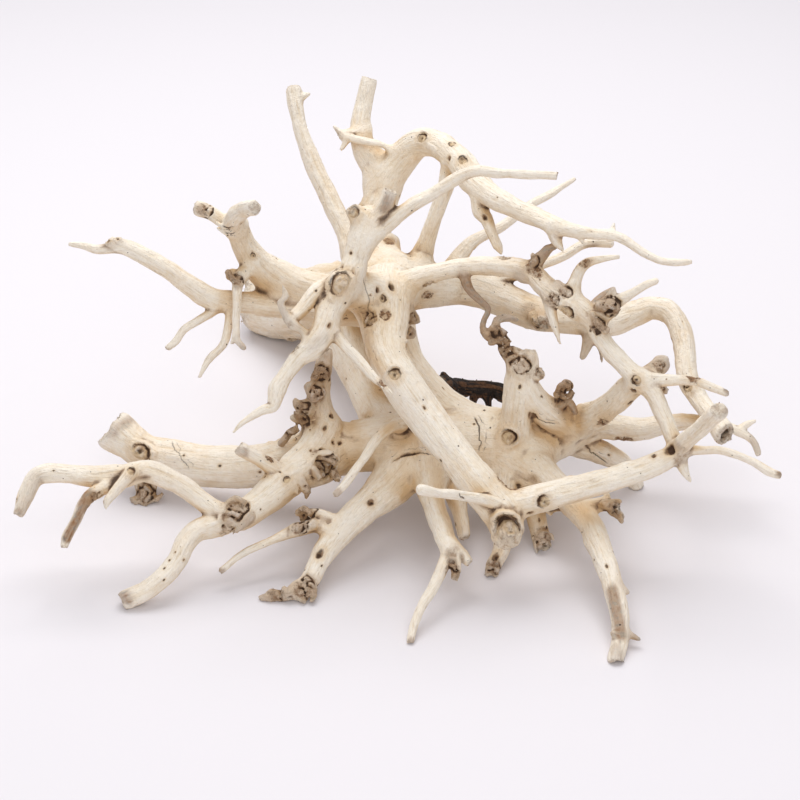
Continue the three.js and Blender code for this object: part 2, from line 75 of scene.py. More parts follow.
view_centre = np.array([-BOX_MIDDLE[0], -BOX_MIDDLE[1], MIDDLE_HEIGHT])
view_forward = np.array([0, math.cos(LOOK_DOWN), -math.sin(LOOK_DOWN)])
view_up = np.array([0, math.sin(LOOK_DOWN), math.cos(LOOK_DOWN)])
view_right = np.array([1.0, 0, 0])
eye = view_centre - EYE_DISTANCE * view_forward

camera_data = bpy.data.cameras.new("camera")
camera_data.lens = LENS
camera_data.sensor_width = SENSOR
camera_data.clip_end = 20
camera = bpy.data.objects.new("camera", camera_data)
camera.location = Vector(eye * MM)
camera.rotation_euler = (math.pi / 2 - LOOK_DOWN, 0, 0)
bpy.context.scene.collection.objects.link(camera)
bpy.context.scene.camera = camera
print("camera at, in mm:", [round(v) for v in eye])

# %% [markdown]
# ## The limbs and their routes
# Each limb is a line of points, and each point is across, up, back and radius in mm, as
# seen from the eye: across to the right, up in the picture, back away from the eye. These
# are the routes that the solid has too, so the wood lies where the solid lies.
# The trunk lies on the ground at the back left, rises to the crown, bends to the right and
# ends in a hollow drop. Three thick limbs go down from the crown to the lower mass, which
# runs along the ground from its cut end on the left.

# %% The trunk and the lower mass
ROUTES = {
    "trunk": [[-76, 51, 156, 13], [-67, 50, 154, 17], [-52, 49, 136, 17.5], [-38, 50, 112, 18],
        [-24, 52, 80, 18], [-14, 55, 45, 17.5], [-5, 57.5, 14, 16], [5, 57.5, 15, 13],
        [26.5, 57, 28, 9], [40, 55, 29, 8.8], [50, 51, 30, 9], [65, 44.5, 28, 9],
        [80, 41, 20, 7.6], [95, 40, 15, 7], [107, 39.5, 8, 6.8], [117.5, 43.5, 6, 6.1],
        [126, 46.5, 4, 5.6], [135, 44, 0, 5.8], [140.5, 35, -4, 5.8], [142.5, 22.5, -10, 5.8],
        [144, 11, -15, 6], [149.5, 0, -20, 5], [156, -9, -28, 4.8], [162, -17, -35, 5.9]],
    "rear_root": [[-22, 48, 84, 12], [-13, 43, 107, 8], [-5, 37, 128, 6.2], [-1, 31, 148, 4.8]],
    "rear_root_stub": [[-8, 40, 120, 5], [2, 38, 130, 3.4]],
    "top_stump": [[-4, 62, 18, 9], [-6, 72, 26, 6.8], [-6, 78, 31, 6]],
    "inner_limb": [[-27, 42, 62, 15], [-19, 17.5, 40, 12.5], [-10, -2.5, 15, 12],
        [0, -20, -18, 14]],
    "back_limb": [[-7, 44, 2, 13], [0.5, 18.5, -2, 12], [18, -4, -8, 12], [32, -14, -14, 13],
        [47, -20, -20, 15]],
    "lower_mass": [[-142, -16, 7, 10.5], [-135, -21, 6, 9.6], [-127.5, -26, 5, 10],
        [-115, -30, 2, 11], [-100, -32.5, 0, 10], [-80, -33.5, -5, 10], [-60, -31, -10, 10.5],
        [-35, -25, -15, 13], [-22, -23.5, -18, 12.5], [-8, -22.5, -22, 14], [15, -21, -22, 15.5],
        [35, -22.5, -20, 16.5], [52, -23, -20, 17], [64, -25, -18, 14]],
    "mass_lobe": [[50, -28, -22, 14], [64, -38, -26, 10], [73, -40, -28, 8]],
}
print(len(ROUTES), "limbs so far")

# %% [markdown]
# The thickest limb comes down towards the eye, ends in the big knot and sends an arm to
# the right. A long branch crosses above it, and both meet the lower arms at the right.

# %% The front limb and the right side
ROUTES |= {
    "front_limb": [[-5, 56, 8, 14], [-8, 54, -15, 14.5], [-8.5, 50, -35, 14], [-7.5, 35, -48, 12],
        [-6, 21, -60, 10], [12, -7, -65, 9], [28, -28, -70, 9], [41, -44, -74, 9.8],
        [51.5, -56, -76, 10.2], [53.5, -63, -79, 8.6]],
    "front_arm": [[49, -54, -75, 8], [74, -48.5, -75, 7], [100, -41, -75, 6.3],
        [127.5, -32, -75, 5.5], [139, -26, -75, 5.2]],
    "arm_stub": [[138, -26, -74, 5], [141, -22, -80, 4.6], [150, -14, -98, 4.4],
        [159, -6, -115, 4.6]],
    "arm_twig": [[138, -27, -75, 4], [146, -25, -77, 2.6], [152.5, -25, -78, 2.2],
        [159, -24.5, -79, 2.2], [166.5, -26.5, -80, 2.2], [175.5, -30.5, -82, 2.2],
        [185, -36, -84, 2.1], [190, -37.5, -85, 1.7]],
    "arm_thorn": [[139, -27, -75, 3.8], [143, -37.5, -76, 1.6], [145, -40.5, -76, 0.9]],
    "long_branch": [[-5, 51, -30, 10], [6.5, 59.5, -36, 5.8], [20, 64.3, -38, 4.6],
        [33.5, 66.3, -40, 4.5], [47, 67, -45, 4.6], [60.3, 65.5, -50, 5.1], [67, 62.3, -53, 5.1],
        [73.5, 56.2, -56, 5.2], [80.5, 51.5, -60, 5.6], [90.5, 45.5, -63, 6], [97, 39, -65, 5.1],
        [102.3, 29.3, -67, 4.8], [110.8, 19, -69, 4.8], [116.5, 13, -70, 5], [120, 9.5, -70, 5.6]],
    "branch_twig": [[120, 10, -70, 4.5], [131.4, 9.5, -73, 3.1], [142.4, 10.2, -75, 2.5],
        [149.5, 9.5, -76, 2.3], [157, 6.5, -78, 2.3], [163, 3.5, -80, 2]],
    "branch_drop": [[120, 9.5, -70, 5], [124.5, 5.5, -71, 4.4], [129, -2, -72, 4.2],
        [133, -10, -73, 4.1], [136.5, -19, -74, 4.2], [139, -25, -75, 4.8]],
    "mass_to_branch": [[66, -19, -8, 11], [87.5, -12.5, -15, 8.4], [94, -9.3, -25, 7.5],
        [100, -7, -35, 7.1], [108, -1, -48, 6.5], [117, 8, -64, 5.8], [120, 9.5, -70, 5]],
    "lower_arm": [[60, -22, -14, 14], [74, -19, -8, 11.5], [87.5, -15, -5, 9],
        [100, -12.5, -3, 6.6], [120, -15, -5, 5.5], [137.5, -11, -8, 4.6], [147.5, -11, -10, 4],
        [160, -12.5, -12, 3.1], [167.5, -15, -13, 2.5], [176, -20, -14, 2],
        [179, -27.5, -15, 1.7]],
    "lower_arm_fork": [[169, -15.5, -13, 2.2], [174, -12, -13, 1.8], [177.5, -10.5, -13, 1]],
    "rear_leg": [[78, -18, -6, 9], [87.5, -21, 0, 6.6], [100, -26, 4, 6], [110.5, -32, 8, 4.6],
        [118, -42.5, 13, 3.6]],
}
print(len(ROUTES), "limbs so far")

# %% [markdown]
# Here are the thin winding tendril, the stubs and thorns along the long branch, the broken
# stump, the curled twig and the dark decayed piece that lies behind them.

# %% The twigs, stumps and rotten wood on the right
ROUTES |= {
    "tendril": [[32, 63, -40, 3], [34.8, 54.2, -41, 2.1], [40, 49.5, -42, 1.8],
        [44, 45.5, -42, 1.6], [42, 39.5, -43, 1.5], [41.5, 35.5, -43, 1.5], [43.5, 33, -44, 2.6],
        [48, 31.5, -44, 3.3], [52, 29.5, -44, 3], [51.5, 26, -44, 2.8], [55, 20.7, -45, 3.4],
        [59, 17, -45, 4.5]],
    "tendril_hook": [[48, 32, -44, 2.6], [48, 39, -43, 2], [51, 41.2, -38, 2],
        [55.5, 41, -31, 1.8], [58, 40.5, -25, 1.3]],
    "upper_prong": [[87, 47, -62, 5], [86.5, 55, -62, 4.1], [87.7, 60.2, -62, 3.3],
        [89.8, 65.5, -62, 3], [93.8, 69, -62, 2.6], [100.5, 70.5, -62, 1.9],
        [108.5, 71.5, -62, 1.2]],
    "brown_prong": [[62, 63, -51, 4.5], [71, 71, -54, 2.8], [75.5, 75.5, -56, 2.1],
        [79, 77.5, -57, 1.5]],
    "back_twig": [[42, 55, 28, 5], [55, 61.5, 28, 3], [69, 66.7, 29, 2.6], [83, 73, 30, 2.5],
        [91.9, 77.5, 30, 2.5], [105, 78.2, 30, 2.2]],
    "thorn": [[75, 52, -57, 4], [75.5, 46.2, -58, 2.9], [77.5, 38.2, -59, 2.2],
        [80.5, 28.8, -60, 0.7]],
    "burl_twig": [[100, 42, -65, 5], [106, 48, -66, 3.6], [116.5, 53.5, -66, 2.3],
        [124, 58, -67, 2], [127.5, 59.5, -67, 1.8]],
    "burl_tip": [[103, 46, -66, 4], [106.5, 55, -66, 1.6]],
    "rear_stub": [[94, 42, 14, 4], [101, 51.5, 16, 2.4], [106, 54.5, 16, 2]],
    "joint_stub": [[121, 10, -69, 4.5], [128, 16, -62, 4.4], [130.5, 18.2, -58, 4.6]],
    "joint_stub_low": [[122, 8.5, -69, 3.5], [132, 5, -60, 2.6]],
    "hanging_fork": [[96, 38, 14, 5], [94, 29, 14, 3], [91.5, 21.5, 14, 1.8]],
    "hanging_fork_thin": [[95.5, 33, 14, 2.4], [100, 26, 14, 1.3], [101.5, 19.5, 14, 0.8]],
    "trunk_stub": [[69, 43, 24, 6], [71, 39, 12, 4.2]],
    "crown_knob_high": [[0, 44, -34, 6], [7.5, 40.8, -29, 3]],
    "crown_knob_low": [[0, 35, -38, 5], [6, 33.3, -34, 2.6]],
    "stump": [[54, -19, -26, 12], [57.5, -9.3, -36, 7.8], [58.5, 2, -40, 6.8],
        [60.5, 12.5, -43, 7.6], [63.3, 19.5, -45, 6.6], [63.5, 23, -45, 5]],
    "stump_shoulder": [[61, 10, -42, 7], [67, 0, -37, 7.2], [77, -8, -26, 8], [86, -13, -15, 8.2]],
    "curled_twig": [[80, -6, -28, 4], [80, 0, -36, 2.6], [80.5, 3, -37, 2.3], [83, 7.5, -38, 2.8],
        [85, 7, -38, 2.2]],
    "curled_flap": [[80, -2, -33, 3], [85, -2, -36, 2.2], [87.5, -6.5, -35, 1.8]],
    "decayed": [[17, 2, -5, 5], [22, 8.5, 5, 3.6], [29, 6.5, 18, 3.8], [37, 6, 26, 4.2],
        [46, 5, 28, 4.2], [55, 2, 22, 3.8], [64, -6, 10, 4.6], [72, -14, -2, 6]],
    "decayed_spur": [[23, 8, 6, 3], [21.5, 12.5, 8, 1.4]],
    "decayed_prongs": [[38, 4, 27, 3], [36, -3, 27, 1.2]],
    "decayed_prong_right": [[43, 4, 28, 3], [45, -3.5, 28, 1]],
}
print(len(ROUTES), "limbs so far")

# %% [markdown]
# Six legs spread from the lower mass to the ground, and most end torn or forked.

# %% The legs in front
ROUTES |= {
    "right_leg": [[64, -33, -24, 11], [73, -39, -32, 8.4], [85.5, -52, -50, 6.7],
        [94, -61, -62, 6.5], [98.5, -71, -72, 6.5], [105, -86.5, -86, 5.8],
        [108.5, -99.5, -95, 5.4], [110.5, -112.5, -103, 4.5], [109.5, -124, -109, 4.5],
        [108.5, -131, -113.5, 4.4]],
    "leg_spur": [[110, -114, -104, 3.4], [115, -117.5, -105, 2], [119, -120, -106, 1.2]],
    "leg_stub": [[90, -56, -57, 5], [102.5, -52, -56, 3.2], [108, -54, -57, 3.6]],
    "leg_stub_up": [[102, -52, -56, 2.8], [104, -47.5, -56, 1.5]],
    "leg_stub_down": [[107, -54, -57, 3], [111, -58.5, -58, 1.3]],
    "leg_bump": [[109, -94, -92, 3.6], [115, -96, -93, 1.3]],
    "knot_leg": [[52, -34, -26, 9], [51.5, -60, -40, 5.2], [51, -73.5, -48, 4.2],
        [46.5, -82.5, -53, 3.8], [45, -87.5, -55, 3.2]],
    "short_leg": [[65, -38, -26, 8], [68, -56, -33, 5.2], [70, -66, -35.5, 4.5],
        [71.5, -73.5, -37.5, 4.4]],
    "left_leg": [[4, -29, -26, 13], [-1, -38, -34, 12.2], [-7.5, -45, -40, 11],
        [-17.5, -53.5, -48, 8.6], [-27.5, -63.5, -56, 7], [-35, -73, -61, 6],
        [-41, -82.5, -66, 5.1], [-46, -91, -70.5, 4.8], [-52, -95.5, -72.5, 4.2]],
    "left_leg_prong": [[-50, -95, -72, 4], [-57.5, -98, -72.5, 3], [-69, -99.5, -72, 1.5]],
    "left_leg_toe": [[-47, -93, -71, 4], [-49.5, -100, -75, 2.2]],
    "left_leg_stub": [[-30, -64, -56, 6], [-40, -58.5, -55, 4.2], [-48, -58, -54, 3.6]],
    "left_leg_twig": [[-33, -66, -58, 5], [-42, -63.5, -58, 3.4], [-55, -66.5, -60, 3],
        [-67.5, -72, -63, 2.3], [-80, -78, -66, 2], [-89.5, -85.5, -69, 1.8]],
    "centre_leg": [[14, -28, -30, 13], [16, -42, -43, 8], [16.5, -51.5, -52, 6.2],
        [20.5, -62.5, -62, 5.8], [25, -75, -75, 4.6]],
    "centre_tongue": [[25, -74, -74, 4.2], [28, -83, -79, 2.9], [27, -89.5, -81, 2]],
    "centre_stub": [[25, -72, -73, 4], [31, -77.5, -75, 3], [34, -80.5, -76, 2.4]],
    "centre_twig": [[25, -74, -74, 4.2], [21.5, -83, -80, 3.1], [16.5, -93.5, -86, 3],
        [10.5, -102, -92, 2.5], [7, -112.5, -97, 2.3], [6, -121, -102, 2]],
    "centre_leg_rear": [[25, -38, -28, 8], [29.5, -56.5, -38, 3.8], [32, -67.5, -42, 3.4]],
    "fore_twig": [[57, -55.5, -79, 3.4], [48, -51.5, -83, 3.4], [41, -49, -85.5, 3.3],
        [36, -48, -88, 3], [29, -47.5, -93, 2.6], [20, -47, -101, 2.5], [10.5, -44.8, -110, 2.8]],
    "side_twig": [[2, -13, -32, 5], [-4.5, -14, -46, 2.9], [-12, -20.5, -55, 2.8],
        [-18.5, -30.3, -62, 2.3], [-25.5, -40, -67, 2.2], [-32, -47, -70, 1.9]],
}
print(len(ROUTES), "limbs so far")

# %% [markdown]
# One arm divides at an elbow: a long limb bends to the far left, and a foot goes down.

# %% The left arm and the left stump
ROUTES |= {
    "left_arm": [[-33, -27, -22, 12], [-41, -33, -33, 10.5], [-50, -36, -42, 9.5],
        [-61, -43.5, -50, 9], [-70, -51, -56, 7.6], [-80, -57.5, -62, 7]],
    "left_arm_far": [[-78, -56.5, -61, 7], [-89.5, -56, -64, 5.4], [-101, -48.5, -65, 5.3],
        [-112.5, -41, -66, 5.1], [-126.5, -35.5, -66, 5.9], [-137, -37, -68, 5.6],
        [-151, -38.5, -70, 5.3], [-165, -37, -70, 4.6], [-177, -36.5, -70, 4.9],
        [-182.5, -38.8, -71, 4.6], [-186.5, -47, -74, 4], [-190, -57.5, -78, 3]],
    "left_arm_foot": [[-80, -57, -62, 7], [-93, -62.5, -65, 5.9], [-101.5, -65.5, -67.5, 5.4],
        [-107.5, -72, -70, 5.3], [-111.5, -80, -73, 5.2], [-118, -88, -76, 5.2],
        [-127, -95, -77.5, 5.1], [-136, -99.5, -77.5, 5.1]],
    "stripped_twig": [[-134, -37, -68, 5], [-142, -41, -71, 3.8], [-151, -46, -75, 3.4],
        [-156.5, -49.5, -77, 3.1], [-162, -59.5, -81, 2.8], [-167, -68.5, -84, 2.7],
        [-168.5, -73, -86, 1.9]],
    "drop_twig": [[-131, -35, -69, 4], [-134.5, -36.5, -73, 3.1], [-140.5, -44, -76, 3],
        [-146, -51, -79, 2.2], [-146.5, -54.5, -80, 0.8]],
    "left_arm_stub": [[-56, -42, -47, 6], [-62.5, -34.5, -52, 4.3], [-71, -29.5, -56, 3.8],
        [-80, -24.5, -60, 3.6]],
    "left_stump": [[-38, -22, -18, 12], [-39.5, -10, -24, 8.4], [-40.5, 0, -28, 6.4],
        [-39, 12.5, -32, 5.1], [-37.5, 24, -35, 3.9]],
    "stump_spur_high": [[-42, -3, -27, 4.5], [-51.5, -3.5, -28, 1.8]],
    "stump_spur_low": [[-42, -10, -24, 5], [-52.5, -9.5, -26, 2]],
    "stump_to_arm": [[-38, -12, -24, 8], [-43, -24, -33, 8.5], [-52, -33, -42, 8]],
}
print(len(ROUTES), "limbs so far")

# %% [markdown]
# Two limbs leave the crown to the left, one bent up and one long and nearly level.

# %% The upper left limbs
ROUTES |= {
    "upper_left": [[-12, 52, -6, 13], [-30, 52, -17, 11.5], [-48, 54.5, -25, 10.5],
        [-61.5, 60, -33, 9.8], [-71.5, 67, -40, 8], [-77, 75, -47, 6.6], [-80.3, 82, -54, 6],
        [-83, 87.3, -60, 6]],
    "upper_left_end": [[-82, 86, -59, 5.6], [-89.5, 90, -59, 3.6], [-95, 94, -57, 3.8],
        [-100, 95.5, -55, 4.1]],
    "upper_left_thumb": [[-82.5, 86.5, -60, 5.8], [-83, 91, -75, 5], [-78.2, 95, -92, 4.3],
        [-73.5, 96, -105, 3.8]],
    "hanging_twig": [[-76, 66, -45, 4.2], [-80.5, 60, -51, 2.8], [-81.5, 52, -56, 2.4],
        [-81.5, 46.5, -57.5, 2.4], [-82, 39, -58, 2.3], [-81.5, 30, -58, 1.9]],
    "hanging_twig_fork": [[-81.8, 35, -57.5, 1.9], [-84.5, 29, -58, 1]],
    "hanging_twig_long": [[-84, 49, -46, 3.4], [-85, 44, -50, 2.3], [-86.5, 33.5, -53, 2.2],
        [-90, 26.5, -54, 2.1], [-96, 20.5, -56, 1.9], [-100.5, 11.5, -58, 1]],
    "left_limb": [[-10, 48, -14, 12], [-25, 46, -22, 9], [-40, 46, -27, 7.2],
        [-59.5, 46.5, -32, 6.1], [-79, 49, -42, 5.7], [-94, 50.3, -50, 5.4],
        [-104.5, 56.5, -53, 5], [-117, 65.5, -55, 4.5], [-128.5, 72, -57, 4], [-140, 77, -58, 3.8],
        [-145, 76, -58.5, 3], [-151.5, 75, -59, 2.5], [-158, 76.5, -59.5, 1.9],
        [-165, 77.5, -60, 1.2]],
    "left_limb_nub": [[-140.5, 76.5, -58, 3], [-144, 80.5, -58, 1.5]],
    "left_limb_twig": [[-90, 49, -48, 4], [-94, 44.5, -50, 2.6], [-100.5, 40, -52, 2.2],
        [-108, 35, -54, 2], [-112, 30, -55, 2], [-116.5, 26, -56, 1.6]],
}
print(len(ROUTES), "limbs so far")

# %% [markdown]
# A knotty branch stands in front of the crown. It is forked above and thin below.

# %% The branch that stands in front
ROUTES |= {
    "front_link": [[-7, 50, -30, 13], [-18, 53, -48, 10.5], [-27, 56, -63, 8.5]],
    "front_upright": [[-17, 90, -62, 6.8], [-18.5, 82, -62, 7.6], [-21.5, 71, -62, 6.2],
        [-24.5, 62, -64, 7], [-29.5, 55, -66, 8], [-34.5, 46, -68, 7], [-38, 35, -70, 7],
        [-43.2, 27.2, -71, 6.4], [-51.3, 20.5, -72, 4.6], [-58, 11, -74, 4],
        [-61.3, 5.7, -75, 4.9], [-63.3, -3, -77, 3], [-68, -4.5, -78, 2.4], [-74, -8, -79, 1.8],
        [-79.5, -12, -80, 1.3], [-83.2, -16.5, -81, 0.8]],
    "upright_knob": [[-18, 88, -62, 6], [-23.5, 94.3, -66, 3.9]],
    "upright_stub": [[-16, 86, -62, 6.5], [-12, 91.5, -63, 5], [-6.3, 100, -66, 4.2],
        [-5, 103.5, -67, 4]],
    "upright_twig": [[-18, 80, -62, 6.5], [-8, 86.5, -63, 4.3], [2, 94.8, -65, 3.8],
        [15, 102.5, -67, 3.5], [27.5, 110, -69, 3.3], [37.8, 114, -71, 3], [53, 113.3, -73, 2.4],
        [66, 112.5, -74, 2.3], [78.5, 112, -75, 2.1]],
    "cross_twig": [[-37, 39, -69, 5], [-32, 32, -71, 3.3], [-27.2, 26.5, -72, 3],
        [-20, 19, -74, 2.7], [-13, 11, -79, 2.2], [-3.7, 2.5, -84, 0.9]],
    "upright_side": [[-30, 56, -66, 6], [-38.5, 56, -67, 4.2], [-45.3, 50, -69, 3.8],
        [-51.3, 43.2, -70, 3.5], [-55, 39.5, -72, 3]],
    "knobby_twig": [[-58.5, 56.5, -74, 0.9], [-57.5, 51.2, -74, 1.8], [-60, 48.5, -74, 1.8],
        [-58, 43.2, -74, 2.1], [-54.5, 38, -73, 2.5], [-48.5, 34, -72, 2.1],
        [-46.5, 28.5, -72, 2.2], [-44, 25, -71, 3]],
}
print(len(ROUTES), "limbs so far")

# %% [markdown]
# Two tall prongs rise from the crown, and the right one turns over into a long arch.

# %% The prongs and the arch
ROUTES |= {
    "left_prong": [[-12, 58, 8, 10], [-22.5, 69, 10, 5.8], [-27, 84, 13, 5], [-34.7, 100, 16, 4.6],
        [-41.5, 114.7, 19, 4.3], [-47.6, 130, 21, 3.5], [-50.5, 140, 23, 3.4],
        [-52.5, 148.5, 24, 4.1], [-53, 154, 25, 4]],
    "left_prong_spur": [[-52, 150.5, 24, 3], [-45.5, 153.3, 25, 1]],
    "right_prong": [[-6, 60, 16, 14], [-14, 74, 30, 10], [-14, 86, 38, 9.2], [-11, 96, 40, 9],
        [-8, 106, 41, 8.8], [-11, 116, 42, 8], [-18, 127.5, 43, 6], [-19.5, 137.5, 44, 4.9],
        [-18, 148, 45, 4], [-15.5, 160, 45, 3.9]],
    "prong_side": [[-18, 134, 43, 4.6], [-24, 133, 40, 3.5], [-29, 132.5, 38, 2.3]],
    "prong_twig": [[-28, 132, 37.5, 2.4], [-21, 130, 34, 2], [-10.7, 128, 31, 1.6],
        [-2.5, 124, 31, 0.9]],
    "prong_fork_up": [[-28.5, 132.5, 38, 2], [-32.5, 136.5, 37, 0.9]],
    "prong_fork_down": [[-25, 131.5, 38, 2.2], [-29.5, 125, 36, 1]],
    "arch": [[-9, 108, 41, 9], [0, 120, 36, 8.1], [7, 126.5, 30, 7.3], [13.5, 128.7, 22, 7],
        [20, 127, 14, 6.8], [26, 123, 4, 7], [31, 118, -5, 7.2], [36, 110, -15, 6.8],
        [44, 103.5, -26, 6], [55.5, 96.7, -42, 4.8], [71, 90, -54, 4.9], [83, 85.5, -65, 4.2],
        [95.5, 83.2, -70, 2.8], [108.5, 80.7, -75, 2.5], [121, 74.5, -79, 2.3], [130, 70, -82, 2],
        [137.8, 69.2, -84, 2], [144.8, 69.5, -85, 1.5]],
    "arch_spur": [[105, 81, -73, 2.5], [106.5, 87, -71, 0.9]],
    "arch_prong": [[40, 104, -21, 5], [41, 94, -24, 4.2], [43.5, 90.7, -26, 3.6],
        [46, 83.8, -29, 2.8], [48.5, 77.5, -31, 2.6], [50.3, 73.5, -32, 0.9]],
    "arch_thorn": [[77, 87, -60, 4.4], [78.7, 79, -61, 2.5], [81.5, 74.5, -62, 0.7]],
    "arch_thorn_small": [[88, 84.5, -67, 3], [89.3, 81.5, -67, 1.6], [92, 77, -68, 0.6]],
    "arch_pillar": [[28, 120, 2, 6], [24.5, 115, 3, 4.4], [21.5, 102.5, 8, 3.9],
        [17.8, 92, 12, 3.9], [13.9, 81, 17, 4.1], [11, 72.5, 20, 5.4], [8, 62, 18, 9]],
    "rear_twig": [[24, 60, 26, 7], [28.8, 70.5, 30, 4.5], [35, 78.2, 34, 3.8], [43, 83.2, 39, 2.8],
        [53, 88.5, 44, 2.5], [65.8, 98, 50, 2.3], [76, 103.7, 55, 2], [87, 110, 60, 1.2]],
    "foot_lump": [[-127, -30, 4, 7], [-127, -42, 3, 5.4], [-126, -49.5, 2, 4.6]],
}
print(len(ROUTES), "limbs with", sum(map(len, ROUTES.values())), "points")

# %% [markdown]
# Round knots swell some limbs, and the torn places carry small lips, lumps and shards. Those
# bits are too small for the solid, so only this finish has them. They are limbs as well, in
# the same numbers, and so they grow into the wood as the big ones do.

